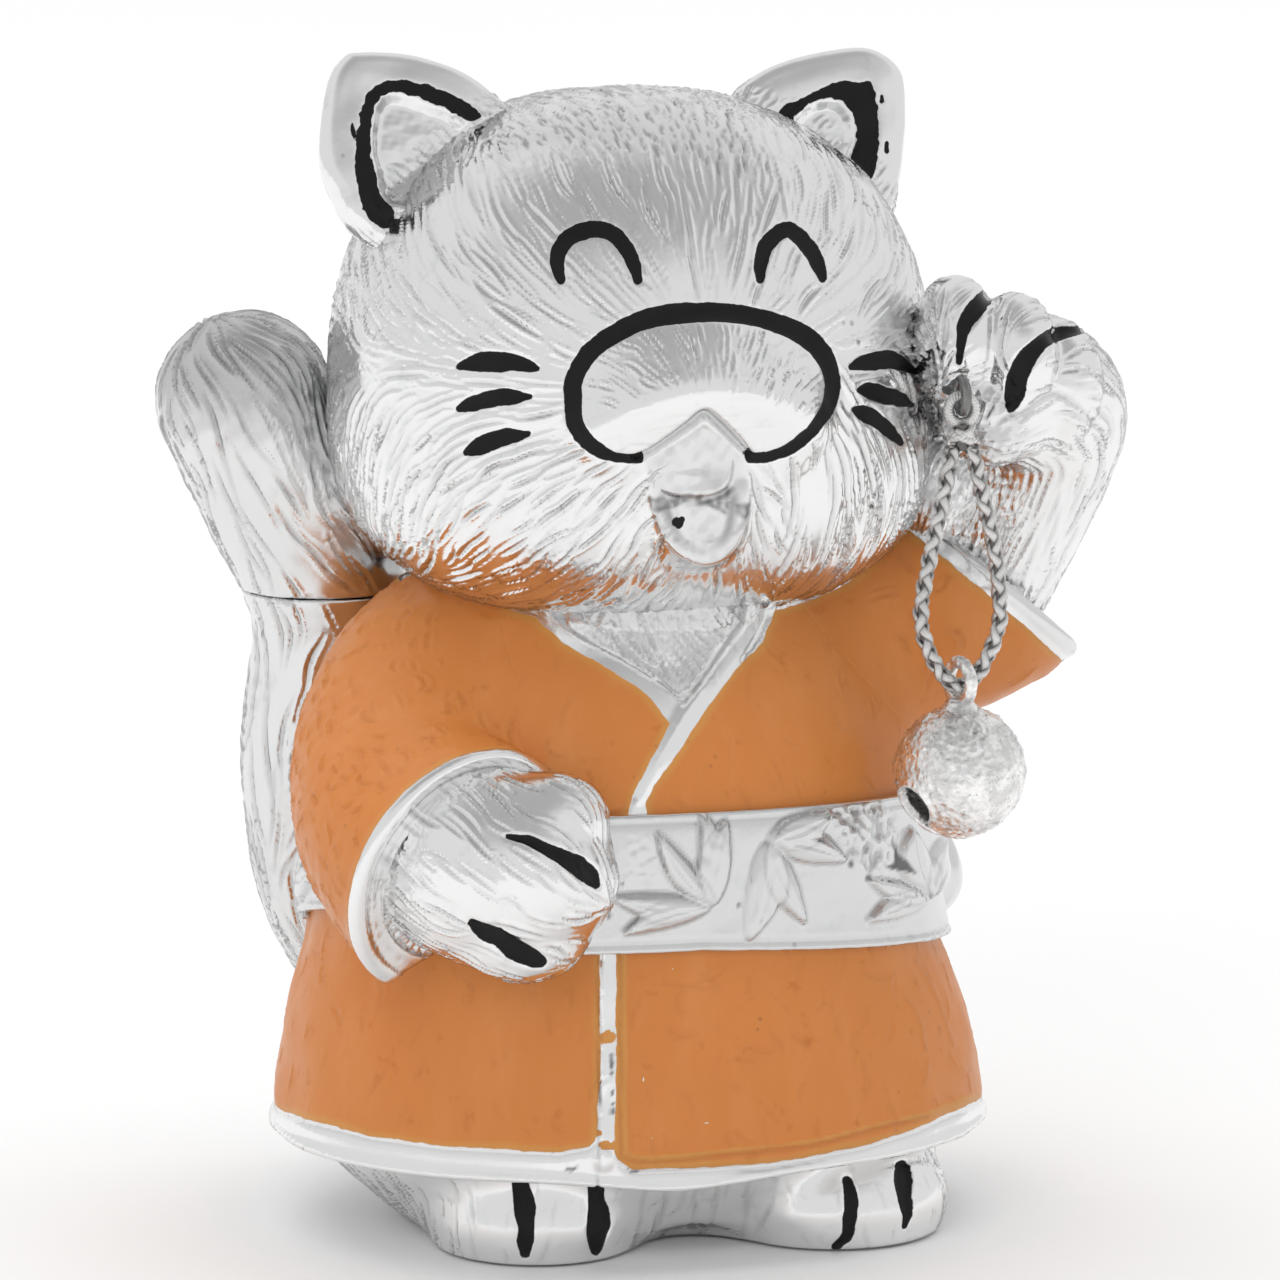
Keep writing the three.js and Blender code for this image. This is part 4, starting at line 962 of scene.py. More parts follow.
for side, name, node in ((-1, "ear_casting_right", "ear_right"), (1, "ear_casting_left", "ear_left")):
    rng = np.random.default_rng(200 + side)
    fe = ear_field(side)
    f = lambda p, fe=fe: smax(fe(p), -(head_field(p) + 1.2), 0.2)
    c = EO[side] * vec(side, 1, 1)
    V, Q, N = surface(f, c - vec(17, 17, 15), c + vec(17, 17, 17), 0.27)
    U_, V_ = pixel(V)
    front = (N @ BACK) > 0.0
    black = np.full(len(V), 9.0)
    seen = front & (ear_local(V, side)[:, 2] > -4.4)
    for rows in EAR_PAINT[side]:
        black = np.minimum(black, np.where(seen, trace(U_, V_, rows) * PX, 9.0))
    ragged = 0.06 * waves(V, 1.3, 38) + 0.05 * waves(V, 0.6, 39)
    black = np.minimum(black, np.where(seen, patch(U_, V_, EAR_BAND[side]) * PX + 0.10 + ragged, 9.0))
    kd = kd_of(V)
    groove, ridge = np.zeros(len(V)), np.zeros(len(V))
    e = ear_local(V, side)
    area = vertex_area(V, Q)
    rear = e[:, 2] < -3.6
    s = scatter(V, area, 1.5, rng, rear.astype(float))
    fur(f, V, kd, s, lambda p, n: np.broadcast_to(EY * vec(side, 1, 1), p.shape), 4.5, 0.34, 0.25, groove, ridge, rng, 0.4)
    foot = (head_field(V) < 2.6) & (e[:, 2] > -2.5)
    s = scatter(V, area, 1.0, rng, foot * (head_field(V) < 1.6))
    fur(f, V, kd, s, lambda p, n: np.broadcast_to(EY * vec(side, 1, 1), p.shape), 1.8, 0.24, 0.22, groove, ridge, rng, 0.8, bend=0.6)
    hollow = np.where(front & (e[:, 2] > -3.4), patch(U_, V_, EAR_DISH[side]), 99.0)
    at, way, wide = EAR_BROW[side]
    t = (U_ - at[0]) * way[0] + (V_ - at[1]) * way[1]
    slope = np.clip(t / wide, 0, 1) * step(hollow, 14.0, 0.0)
    dented = np.where(hollow < -2, 0.035 * waves(V, 2.2, 40) + 0.015 * waves(V, 0.9, 30), 0)
    crown = 0.12 * np.exp(-((patch(e[:, 0], e[:, 1], LEAF[side]) + 1.7) / 0.8) ** 2) * front
    disp = ridge - groove - 0.08 * step(black, 0.25, -0.25) - 1.0 * step(hollow, 2.0, -12.0) + 1.7 * slope + dented - crown + 0.04 * waves(V, 5.0, 42)
    # painted shade in the ear's hollow, mottled: a dark band at the top of the raised brow, a light darkening over the
    # hollow, and a darker brow side
    mottle = np.clip(0.45 + 0.5 * waves(V, 0.9, 33) + 0.4 * waves(V, 2.1, 34), 0, 1)
    hollow_shade = np.where(front, np.exp(-((t - wide * 0.95) / (wide * 0.38)) ** 2), 0) * step(hollow, 30.0, 6.0) * mottle
    mark = np.maximum(np.clip(groove / 0.36, 0, 1) * 0.7, 0.8 * hollow_shade)
    mark = np.maximum(mark, 0.10 * step(hollow, 0, -8) * mottle)
    mark = np.maximum(mark, np.where(front, 0.34 * step(t, -1.0, 4.0) * step(hollow, 12.0, 0.0), 0))
    make_object(name, V + N * disp[:, None], Q, PLATED, "figure", [node], {"black": black, "groove": mark})

# ---------------------------------------------------------------- coat
COAT = catmull([(8, 36.2, 30.2), (11, 35.9, 30.0), (16, 35.2, 29.4), (22, 33.9, 28.6), (28, 31.8, 27.7), (34, 30.7, 27.1), (40, 30.2, 26.9), (45, 30.3, 26.6),
                (50, 29.6, 25.6), (54, 28.1, 24.2), (58, 25.4, 22.2), (61, 22.6, 20.2), (63.4, 20.4, 18.6), (67, 18.4, 16.8)], 8)


def coat_shape(p):
    z = p[:, 2]
    a, b = np.interp(z, COAT[:, 0], COAT[:, 1]), np.interp(z, COAT[:, 0], COAT[:, 2])
    n = 2.15
    x = p[:, 0] + 0.75 * np.exp(-((z - 31) / 9) ** 2)
    return (((np.abs(x) / a) ** n + (np.abs(p[:, 1]) / b) ** n) ** (1 / n) - 1) * np.minimum(a, b)


def hem_low(p):
    """Height of the coat's lower edge: it dips a little at the middle of the front."""
    return 9.35 - 1.05 * np.exp(-((p[:, 0] + 3) / 8.5) ** 2) * step(p[:, 1], -4, -16)


def coat_field(p):
    z = p[:, 2]
    low = hem_low(p)
    d = coat_shape(p) - 0.26 * np.exp(-((z - low - 0.35) / 0.55) ** 2)
    return smax(smax(d, low - z, 0.45), z - 66.6, 0.8)


def coat_warp(c):
    s = np.interp(c[:, 1], [-30, -12, 8, 30], [0.74, 0.84, 1.05, 1.3])
    return np.stack([c[:, 0] * s, c[:, 1], 36 + (c[:, 2] - 36) * s], 1)


VEE = [(480, 585), (505, 605), (513, 611), (535, 617), (563, 642), (580, 652), (610, 670), (635, 685), (648, 695), (670, 723), (690, 702), (712, 667), (730, 642), (750, 612), (757, 585)]
YOKE = [(545, 585), (553, 617), (580, 637), (623, 660), (655, 680), (681, 699), (695, 687), (723, 647), (743, 619), (752, 585)]
BAND = [(757, 585), (744, 618), (723, 645), (698, 682), (683, 702), (670, 725), (648, 765), (633, 795), (626, 822), (648, 822), (645, 803), (655, 785), (678, 752), (700, 717), (723, 687), (735, 670), (763, 642), (774, 611), (786, 585)]
COLLAR = [(757, 612, 1.5), (780, 607, 2.2), (803, 600, 2.5), (828, 590, 2.5), (850, 577, 3), (872, 554, 3), (892, 529, 3), (912, 503, 3.5)]
STRIP = [(607.5, 925, 8), (608, 1000, 8), (608, 1080, 8), (606, 1120, 8.5), (604, 1160, 10)]
HEM_U = [262, 272, 310, 370, 443, 510, 560, 590, 596, 612, 618, 633, 697, 773, 813, 863, 913, 977, 990]
HEM_V = [1102, 1106, 1120, 1136, 1146, 1150, 1152, 1146, 1140, 1148, 1160, 1170, 1168, 1163, 1156, 1146, 1130, 1101, 1096]

rng = np.random.default_rng(301)
V, Q, N = surface(coat_field, (-44, -32, -5), (44, 32, 82), 0.40, coat_warp, 1.3)
U_, V_ = pixel(V)
front = ((N @ BACK) > 0.02) & (V[:, 1] < 0)
vee = np.where(front & (V[:, 2] > 44), patch(U_, V_, VEE), 200.0) * PX
yoke = np.where(front & (V[:, 2] > 44), patch(U_, V_, YOKE), 200.0) * PX
band = np.where(front & (V[:, 2] > 42), patch(U_, V_, BAND), 200.0) * PX
strip = np.where(front & (V[:, 2] < 35), trace(U_, V_, STRIP), 200.0) * PX
drawn = (np.interp(U_, HEM_U, HEM_V) - V_) * PX
round_ = step(N @ BACK, 0.02, 0.34) * step(V[:, 1], 12, -8)
hem = np.where(V[:, 2] < 20, drawn * round_ + (V[:, 2] - 11.6) * (1 - round_), 9.0)
neck = 62.2 - V[:, 2]
collar_edge = np.where(front & (V[:, 2] > 52), trace(U_, V_, COLLAR), 200.0) * PX
bare = np.minimum(np.minimum(np.minimum(vee, collar_edge), band), np.minimum(strip, np.minimum(hem, np.where(front, 9.0, neck))))
for u0, v0, ru, rv in ((608, 1037, 6.5, 6), (606, 1145, 7, 4.5), (599, 1133, 3, 3)):
    spilt = np.where(front & (V[:, 2] < 32), 0.3 * (1 - np.hypot((U_ - u0) / ru, (V_ - v0) / rv)) + 0.1, -1.0)
    bare = np.where(spilt > 0, np.maximum(bare, spilt), bare)
kd = kd_of(V)
groove, ridge = np.zeros(len(V)), np.zeros(len(V))
area = vertex_area(V, Q)
collar = np.interp(U_, [545, 558, 593, 648, 698, 730, 750], [612, 619, 625, 630, 629, 624, 612])
s = scatter(V, area, 1.2, rng, (yoke < -0.5) * (V_ > collar + 3))
fur(coat_field, V, kd, s, lambda p, n: np.stack([0.42 + 0 * p[:, 0], 0 * p[:, 0], -np.ones(len(p))], 1), 3.6, 0.30, 0.13, groove, ridge, rng, 0.9, bend=0.2)
s = scatter(V, area, 1.15, rng, (yoke < -0.3) * (V_ < collar - 2))
fur(coat_field, V, kd, s, lambda p, n: np.stack([0.3 + 0 * p[:, 0], 0 * p[:, 0], -np.ones(len(p))], 1), 2.8, 0.32, 0.17, groove, ridge, rng, 0.9, bend=0.8)
nicks, ridges = np.zeros(len(V)), np.zeros(len(V))
rough_coat = (bare > 1.2) * (0.35 + 0.65 * step(waves(V, 26, 91), 0.1, 0.8)) * np.where(V[:, 2] < 44, 1.0, 0.5)
s = scatter(V, area, 3.4, rng, rough_coat)
fur(coat_field, V, kd, s, lambda p, n: np.stack([waves(p, 14, 92), 0 * p[:, 0], 0.8 + 0.6 * waves(p, 17, 93)], 1), 4.2, 0.36, 0.09, nicks, ridges, rng, 1.1, bend=0.9)
disp = ridge - groove + ridges - nicks
disp -= 0.5 * step(yoke, 0.2, -0.35)
inner = np.where(front, V_ - collar, 99.0)
neckline = np.exp(-(inner / 4.2) ** 2) * step(yoke, 0.1, -0.3)
disp += 0.07 * neckline - 0.12 * step(yoke, 0.1, -0.4) * step(inner, 5, -14) * front
disp += 0.30 * step(band, 0.5, -0.7)
bandline = np.where(front, trace(U_, V_, [(741, 622, 1.4), (735, 631, 1.7), (718, 656, 1.8), (697, 686, 1.7), (684, 704, 1.2)]), 99.0)
bandline = np.minimum(bandline, np.where(front, trace(U_, V_, [(769, 616, 0.8), (758, 640, 0.9), (744, 660, 0.7)]), 99.0))
disp -= 0.3 * step(bandline, 3, -2)
facet = np.where(front, trace(U_, V_, [(700, 690, 1), (676, 728, 1), (655, 765, 1), (640, 800, 1)]), 99.0)
disp += 0.16 * np.exp(-(facet / 4.0) ** 2) * step(band, 0, -0.5)
disp += 0.30 * step(strip, 0.35, -0.35)
lapline = np.where(front, trace(U_, V_, [(598.5, 932, 0.6), (599, 1050, 0.7), (598.5, 1130, 0.7), (598, 1188, 0.6)]), 99.0)
disp += 0.22 * step(collar_edge, 0.2, -0.25)
disp -= 0.35 * step(lapline, 3.0, -1.5)
border = np.where(front, trace(U_, V_, [(623, 948, 0.5), (624, 1050, 0.5), (625, 1140, 0.5), (628, 1153, 0.5), (645, 1157, 0.5), (680, 1155, 0.5), (747, 1148, 0.5), (813, 1140, 0.5), (880, 1123, 0.5), (930, 1112, 0.5), (977, 1095, 0.5)]), 99.0)
disp += 0.24 * np.exp(-(border / 2.2) ** 2)
# a shallow groove just outside the panel's border, also painted dark further down as its shadow
outer = np.where(front, trace(U_, V_, [(619.5, 950, 0.5), (620, 1050, 0.5), (620.5, 1140, 0.5), (624, 1158, 0.5), (645, 1162, 0.5), (680, 1160, 0.5), (747, 1153, 0.5), (813, 1145, 0.5), (880, 1128, 0.5), (925, 1117, 0.5)]), 99.0)
disp -= 0.12 * np.exp(-(outer / 2.0) ** 2)
runs = np.full(len(V), 99.0)
for line in ([(663, 984), (690, 987), (718, 990)], [(700, 975), (716, 985)], [(734, 1131), (742, 1138), (750, 1142)], [(862, 975), (876, 981), (889, 980), (893, 975)], [(848, 1046), (853, 1038), (858, 1030)], [(768, 1033), (777, 1042), (781, 1050)], [(735, 1060), (752, 1061)], [(916, 962), (930, 985), (943, 1015), (953, 1045)], [(905, 1000), (918, 1020), (925, 1050)], [(921, 1085), (926, 1074), (927, 1060)], [(860, 1060), (864, 1075), (862, 1090)]):
    runs = np.minimum(runs, trace(U_, V_, [(u0, v0, 0.4) for u0, v0 in line]))
runs = np.where(front & (V[:, 2] < 32), runs, 99.0)
disp += 0.11 * np.exp(-(runs / 2.2) ** 2)
panel_step = np.where(front & (V[:, 2] < 32), step(U_, 612, 618), 0.0) * step(hem, -0.1, 0.5)
disp += 0.22 * panel_step * step(V[:, 0], 30, 14)
hemline = np.exp(-((hem + 0.35) / 0.3) ** 2) * (hem < 1.2)
disp -= 0.16 * hemline
chips = np.where(front, np.minimum(trace(U_, V_, [(566, 1168, 1.5), (571, 1170, 2), (577, 1167, 1)]), trace(U_, V_, [(628, 1170, 1.2), (634, 1172, 1.8), (640, 1170, 1)])), 99.0)
mark = np.clip(groove / 0.15, 0, 1) * 0.55
mark = np.maximum(mark, 0.9 * step(bandline, 1.8, -1.5))
mark = np.maximum(mark, 0.75 * step(lapline, 2.2, -1))
mark = np.maximum(mark, 0.4 * hemline)
# painted shade on the yoke just under the chin, where it is also recessed
mark = np.maximum(mark, 0.26 * step(yoke, 0.1, -0.4) * step(inner, 2, -8) * front)
mark = np.maximum(mark, 1.8 * step(chips, 1.2, -1.2))
for u0, v0, ru, rv in ((612, 1056, 1.7, 2.6), (611.5, 1064, 2.0, 5.0), (612, 1073, 1.6, 2.4), (612, 1093, 1.7, 2.4), (612, 1104, 1.6, 2.0), (612, 1111, 1.8, 4.0), (600, 1090, 0.9, 14)):
    mark = np.maximum(mark, np.where(front & (V[:, 2] < 30), 1.8 * step(np.hypot((U_ - u0) / ru, (V_ - v0) / rv), 1.5, 0.7), 0))
mark = np.maximum(mark, 0.5 * step(yoke, 0.25, -0.05) * step(yoke, -0.4, -0.1))
mark = np.maximum(mark, 0.16 * np.clip(nicks / 0.09, 0, 1))
# painted shadow: a dark line just outside the panel's raised border
mark = np.maximum(mark, 0.42 * np.exp(-(outer / 1.9) ** 2))
mark = np.maximum(mark, 0.26 * np.exp(-(runs / 1.9) ** 2))
thin_paint = np.minimum(2.0, bare) - np.where(front, 1.85 * np.exp(-(border / 2.2) ** 2), 0.0)
disp += 0.06 * waves(V, 9.0, 43)
enamel = np.where(bare > 0.2, -np.maximum(thin_paint, 0.2), -bare)
for u0, v0, r0 in ((706, 1123, 2.8), (643, 1079, 2.0), (672, 970, 1.8), (652, 1138, 1.8)):
    enamel = np.where(front & (V[:, 2] < 32) & (np.hypot(U_ - u0, V_ - v0) < r0), 0.35, enamel)
make_object("coat_casting", V + N * disp[:, None], Q, COATED, "figure", ["body_shell"], {"enamel": enamel, "groove": mark})

# ---------------------------------------------------------------- sash with its leaf relief
TILT = 0.09


def obi_height(p):
    return p[:, 2] + TILT * (p[:, 1] + 27) - 0.21 * np.maximum(-p[:, 0] - 13, 0) * step(p[:, 1], 28, -16)


def obi_low(p):
    return 31.6 - 0.06 * np.maximum(p[:, 0], 0) * step(p[:, 1], 12, -4)


def obi_field(p):
    h = obi_height(p)
    d = coat_shape(p)
    return smax(smax(np.abs(d - 0.45) - 0.8, obi_low(p) - h, 0.45), h - 45.3, 0.45)


def on_surface(u, v, f, start=60.0):
    """Point of the surface of f seen at a pixel."""
    ray = unit(RIGHT * (u - 640) / FOCAL - UP * (v - 640) / FOCAL - BACK)
    p = AIM + BACK * FAR + ray * (FAR - start)
    for _ in range(400):
        d = float(f(p[None])[0])
        if d < 0.005:
            break
        p = p + ray * max(d * 0.6, 0.003)
    return p


SPRAYS = [((712, 906), [((609, 897), 0.14), ((621, 935), 0.145), ((656, 831), 0.14), ((702, 810), 0.16), ((726, 818), 0.19)]),
          ((769, 840), [((748, 942), 0.17), ((806, 925), 0.16), ((846, 861), 0.22), ((832, 811), 0.24)]),
          ((927, 898), [((867, 879), 0.17), ((866, 922), 0.19), ((909, 826), 0.21), ((941, 836), 0.2)])]
LEAVES = []


def around(theta, h):
    """Point on the outside of the sash at an angle from the front and a height."""
    d = vec(math.sin(theta), -math.cos(theta), 0)
    p = np.array([d * 40 + vec(0, 0, h)])
    for _ in range(60):
        p[:, 2] = h - TILT * (p[:, 1] + 27)
        p = p - obi_field(p)[:, None] * 0.7 * d
    return p[0]


rs = np.random.default_rng(17)
for th in (1.85, 2.25, 2.65, -1.8, -2.2):
    h0 = 37.4 + rs.uniform(-2.5, 2.5)
    j = around(th, h0)
    for k, base in enumerate((-2.6, -1.7, -0.5, 0.9)):
        ang = base + rs.normal(0, 0.15) + (math.pi if th < 0 else 0)
        L = rs.uniform(7.0, 9.5)
        hh = np.clip(h0 + L * math.sin(ang), 31.8, 43.4)
        LEAVES.append((j, around(th + L * math.cos(ang) / 30.0, hh), 0.2))

rng = np.random.default_rng(302)
V, Q, N = surface(obi_field, (-36, -31, 24), (36, 31, 50), 0.28)
rise, mark = np.zeros(len(V)), np.zeros(len(V))
outside = (coat_shape(V) > 0.3)
for j, t, w in LEAVES:
    L = np.linalg.norm(t - j)
    x = unit(t - j)
    mid = (t + j) / 2
    near = outside & (np.linalg.norm(V - mid, axis=1) < L * 0.62)
    n = N[near].mean(0) if near.any() else unit(mid * vec(1, 1, 0))
    y = unit(np.cross(n, x))
    q = V[near] - j
    a = (q @ x) / L
    b = (q @ y)
    bow = 0.07 * L * np.sin(np.pi * np.clip(a, 0, 1)) * (1 if (int(abs(t[0] * 7)) % 2) else -1)
    b = b - bow
    half = w * L * np.sin(np.pi * np.clip(a, 0.0, 1.0) ** 0.85) ** 0.8
    d = np.where((a > 0) & (a < 1), half - np.abs(b), -1.0)
    body = step(d, -0.10, 0.16)
    vein = np.exp(-(b / 0.2) ** 2) * body
    lift = body * (0.42 + 0.30 * np.cos(np.clip(b / np.maximum(half, 0.1), -1, 1) * 1.5)) - 0.2 * vein
    rise[near] = np.maximum(rise[near], lift)
    ring_ = np.exp(-((d + 0.10) / 0.13) ** 2)
    mark[near] = np.maximum(mark[near], 0.42 * ring_ * (a > -0.03) * (a < 1.03))
U_, V_ = pixel(V)
front = ((N @ BACK) > 0.02) & (V[:, 1] < 0) & outside
for joint, tips in SPRAYS:
    for k, (tip, w) in enumerate(tips):
        L = math.hypot(tip[0] - joint[0], tip[1] - joint[1])
        x = ((tip[0] - joint[0]) / L, (tip[1] - joint[1]) / L)
        a = ((U_ - joint[0]) * x[0] + (V_ - joint[1]) * x[1]) / L
        b = (V_ - joint[1]) * x[0] - (U_ - joint[0]) * x[1]
        b = (b - 0.06 * L * np.sin(np.pi * np.clip(a, 0, 1)) * (1 if k % 2 else -1)) * PX
        half = w * L * PX * np.sin(np.pi * np.clip(a, 0.0, 1.0) ** 0.85) ** 0.8
        d = np.where(front & (a > 0) & (a < 1), half - np.abs(b), -1.0)
        body = step(d, -0.12, 0.30)
        c = np.clip(b / np.maximum(half, 0.1), -1, 1)
        vein = np.exp(-(b / 0.2) ** 2) * body
        lift = body * (0.30 + 0.55 * np.cos(c * 1.5) - 0.035 * np.cos(c * 11)) - 0.20 * vein + 0.06 * k * body
        rise = np.maximum(rise, lift)
        ring_ = np.exp(-((d + 0.10) / 0.16) ** 2) * (a > 0.02) * (a < 0.99)
        mark = np.maximum(mark, 0.30 * ring_ * front)
worn = np.where(front, step(patch(U_, V_, [(836, 808), (880, 804), (893, 815), (895, 850), (880, 872), (862, 870), (848, 858), (842, 838)]), 8, -6), 0.0)
crust = np.clip(0.6 * waves(V, 0.9, 55, 40) + 0.5 * waves(V, 2.2, 56, 40), -1, 1)
rise += 0.20 * worn * crust
mark = np.maximum(mark, 0.5 * worn * step(crust, 0.2, -0.8))
for u0, v0, r0 in ((615, 886, 2.0), (622, 884, 1.8), (609, 916, 2.4), (739, 905, 2.0), (868, 878, 3.0), (851, 864, 3.0)):
    mark = np.maximum(mark, np.where(front, 1.0 * step(np.hypot(U_ - u0, (V_ - v0) * 0.8) - r0, 1.2, -1.2), 0))
# painted shade: a small dark patch in a gap on the sash, the darkest mark on it
gap = np.where(front, patch(U_, V_, [(893, 843), (900, 858), (909, 873), (898, 870), (886, 868), (895, 862)]), 99.0)
mark = np.maximum(mark, 1.5 * step(gap, 1.4, -1.2))
fine = np.where(front, step(patch(U_, V_, [(628, 838), (665, 836), (672, 870), (650, 884), (626, 880)]), 6, -6), 0.0)
pebble = (0.010 * waves(V, 1.8, 51) + 0.035 * fine * waves(V, 0.9, 53, 40)) * (rise < 0.1)
edge = obi_height(V)
lipline = np.exp(-((edge - 44.4) / 0.3) ** 2) + np.exp(-((edge - obi_low(V) - 0.9) / 0.3) ** 2)
rise = rise * step(edge, 45.2, 44.5)
disp = np.where(outside, rise + pebble - 0.16 * lipline, 0) + 0.03 * waves(V, 6.0, 44)
# painted shade: the whole sash is darkened, and its edge lines a little more
make_object("sash_casting", V + N * disp[:, None], Q, PLATED, "figure", ["obi_sash"], {"black": np.full(len(V), 9.0), "groove": np.clip(mark + 0.38 + 0.15 * lipline * outside, 0, 1.6)})

# ---------------------------------------------------------------- bow of the sash
TAIL = [(-8, 26, 14.5, 5.4), (-17.5, 27, 17.5, 5.9), (-25.6, 24.6, 28, 6.1), (-28.8, 21.6, 43, 6.0), (-27.2, 20, 56, 6.6), (-26.4, 19.4, 63, 8.7), (-30.8, 18.6, 72, 8.8), (-35, 18, 81, 8.9)]


def bow_field(p):
    d = coat_shape(p)
    band_ = np.abs(d - 3.9) - 2.6
    right = ell(p, (22, 16, 31.3), (17.9, 19.5, 9.2))
    left = ell(p, (-6, 28, 32.75), (9.5, 14, 6.2))
    strap = np.maximum(np.maximum(np.abs(p[:, 0] - 3.5) - 10.5, np.abs(p[:, 2] - 32.75) - 5.2), 22 - p[:, 1])
    loops = smax(band_, smin(smin(right, left, 2.0), strap, 2.0), 1.4)
    loops = smax(loops, 3 - p[:, 1], 1.0)
    knot = smax(ell(p, (0, 30.6, 33), (5.6, 5.4, 7.4)), 1.5 - d, 0.3)
    return smax(smin(loops, knot, 0.5), -(limb(p, TAIL) - 0.4), 0.4)


rng = np.random.default_rng(303)
V, Q, N = surface(bow_field, (-18, 0, 21), (42, 39, 43), 0.34)
kd = kd_of(V)
groove, ridge = np.zeros(len(V)), np.zeros(len(V))
area = vertex_area(V, Q)
on_knot = np.linalg.norm((V - vec(0, 32, 33)) / vec(6, 6, 8), axis=1) < 1.0
s = scatter(V, area, 2.4, rng, ~on_knot * step(V[:, 1], 12, 18))
fur(bow_field, V, kd, s, lambda p, n: p - vec(0, 33, 33), 9.0, 0.6, 0.36, groove, ridge, rng, 0.6)
s = scatter(V, area, 1.6, rng, on_knot.astype(float))
fur(bow_field, V, kd, s, lambda p, n: np.broadcast_to(vec(0.25, 0, 1), p.shape), 6.0, 0.5, 0.4, groove, ridge, rng, 0.6)
# painted shade where the bow tucks against the coat
tuck_shade = np.exp(-((coat_shape(V) - 1.5) / 0.6) ** 2) * step(V[:, 1], 12, 6)
disp = ridge - groove + 0.04 * waves(V, 5.0, 45)
make_object("bow_casting", V + N * disp[:, None], Q, PLATED, "figure", ["obi_bow"], {"black": np.full(len(V), 9.0), "groove": np.clip(groove / 0.6 + 0.3 + 0.8 * tuck_shade, 0, 1.3)})

# ---------------------------------------------------------------- sleeves
SLEEVE_R = [(-17, 4, 57.5, 8), (-21.9, -2, 54, 9.7), (-25.1, -9, 48.4, 11.0), (-25.6, -17, 43.4, 11.9), (-23.2, -25, 40.0, 12.9)]
CUFF_R, CUFF_RN = (-23.2, -24.9, 39.2), unit(vec(0.40, -0.86, -0.31))
SLEEVE_L = [(15, 0, 58.0, 9.0), (24.5, -2.0, 59.8, 11.2), (31.0, -3.4, 60.6, 11.3), (36.6, -4.2, 62.8, 10.8)]
CUFF_L, CUFF_LN = (35.6, -3.5, 64.9), unit(vec(0.655, -0.05, 0.754))
HANG, HANG_N = (-32.2, -25, 28.6), unit(vec(0.40, -0.05, -0.915))


def sleeve_field(rows, c, n, wall, deep, low, high):
    def f(p):
        d = limb(p, rows)
        h = halfspace(p, c, n)
        rim_ = 0.3 * np.exp(-((h + 0.9) / 0.7) ** 2)
        hollow = smax(d + wall, -(h + deep), 0.9)
        own = smax(smax(d - rim_, h, 0.6), -hollow, 0.5)
        if rows is SLEEVE_R:
            own = smax(own, halfspace(p, HANG, HANG_N), 0.5)
        coat = coat_shape(p)
        k = 0.3 + 5.2 * step(p[:, 2], low, high) * step(h, -3.0, -9.0)
        both = smin(own, coat, k)
        return smax(smax(both, own - 0.9 * k, 0.05), -(coat + 1.4), 0.2)
    return f


for name, node, rows, c, n, wall, deep, zone, lo, hi, seed in (
        ("sleeve_casting_right", "right_sleeve", SLEEVE_R, CUFF_R, CUFF_RN, 3.9, 1.1, (46, 53), (-41, -39, 23), (-4, 16, 68), 1),
        ("sleeve_casting_left", "left_sleeve", SLEEVE_L, CUFF_L, CUFF_LN, 1.5, 1.6, (43, 47), (4, -23, 42), (52, 17, 76), 2)):
    rng = np.random.default_rng(310 + seed)
    f = sleeve_field(rows, c, n, wall, deep, *zone)
    V, Q, N = surface(f, lo, hi, 0.34)
    h = halfspace(V, c, n)
    d = limb(V, rows)
    U_, V_ = pixel(V)
    outer = d > -0.55
    width = 1.15 if seed == 1 else 2.3
    bare = np.where(outer, -(h + width) + (0.16 if seed == 1 else 0.03) * waves(V, 5.0, 61), -3.0)
    nape = 62.2 + 0.9 * np.maximum(np.hypot(V[:, 0], V[:, 1]) - 20.5, 0) - V[:, 2]
    bare = np.where(outer & (V[:, 1] > 1), np.minimum(bare, nape), bare)
    if seed == 2:
        bare = np.minimum(bare, np.where(((N @ BACK) > 0.02) & outer, trace(U_, V_, COLLAR), 200.0) * PX)
    kd = kd_of(V)
    groove, ridge = np.zeros(len(V)), np.zeros(len(V))
    area = vertex_area(V, Q)
    T0, S0 = along_limb(V, rows)
    skin = outer & (h < -3.5) & (d < 1.0)
    s = scatter(V, area, 1.9 if seed == 1 else 4.2, rng, skin * (0.1 + 0.9 * step(waves(V, 15, 94) + 0.05 * (-V[:, 0] - 26) * (seed == 1), -0.1, 0.7)))
    fur(f, V, kd, s, lambda p, n_: along_limb(p, rows)[0] + 1.3 * waves(p, 9, 95)[:, None] * vec(0, 0.4, 1), 3.4, 0.33, 0.15, groove, ridge, rng, 1.1, bend=1.5)
    line_ = np.exp(-((h + width + 0.1) / 0.22) ** 2) * outer
    annulus = (h > -1.0) & (d < 0.1)
    rim2 = np.exp(-((d + 1.5) / 0.2) ** 2) * annulus + 0.6 * np.exp(-((d + 2.6) / 0.18) ** 2) * annulus * (0.4 + 0.6 * step(waves(V, 1.1, 96), -0.2, 0.2))
    step_in = 0.35 * step(d, -1.4, -1.7) * annulus
    disp = ridge - groove - 0.14 * line_ - 0.14 * rim2 - step_in + 0.06 * waves(V, 9.0, 43)
    mark = np.clip(groove / 0.2, 0, 1) * 0.18
    mark = np.maximum(mark, np.maximum(0.35 * line_, 0.6 * np.clip(rim2, 0, 1)))
    if seed == 2:
        mark = np.maximum(mark, 0.3 * step(h, -1.85, -1.55) * outer)
    make_object(name, V + N * disp[:, None], Q, COATED, "figure", [node], {"enamel": -bare, "groove": mark})

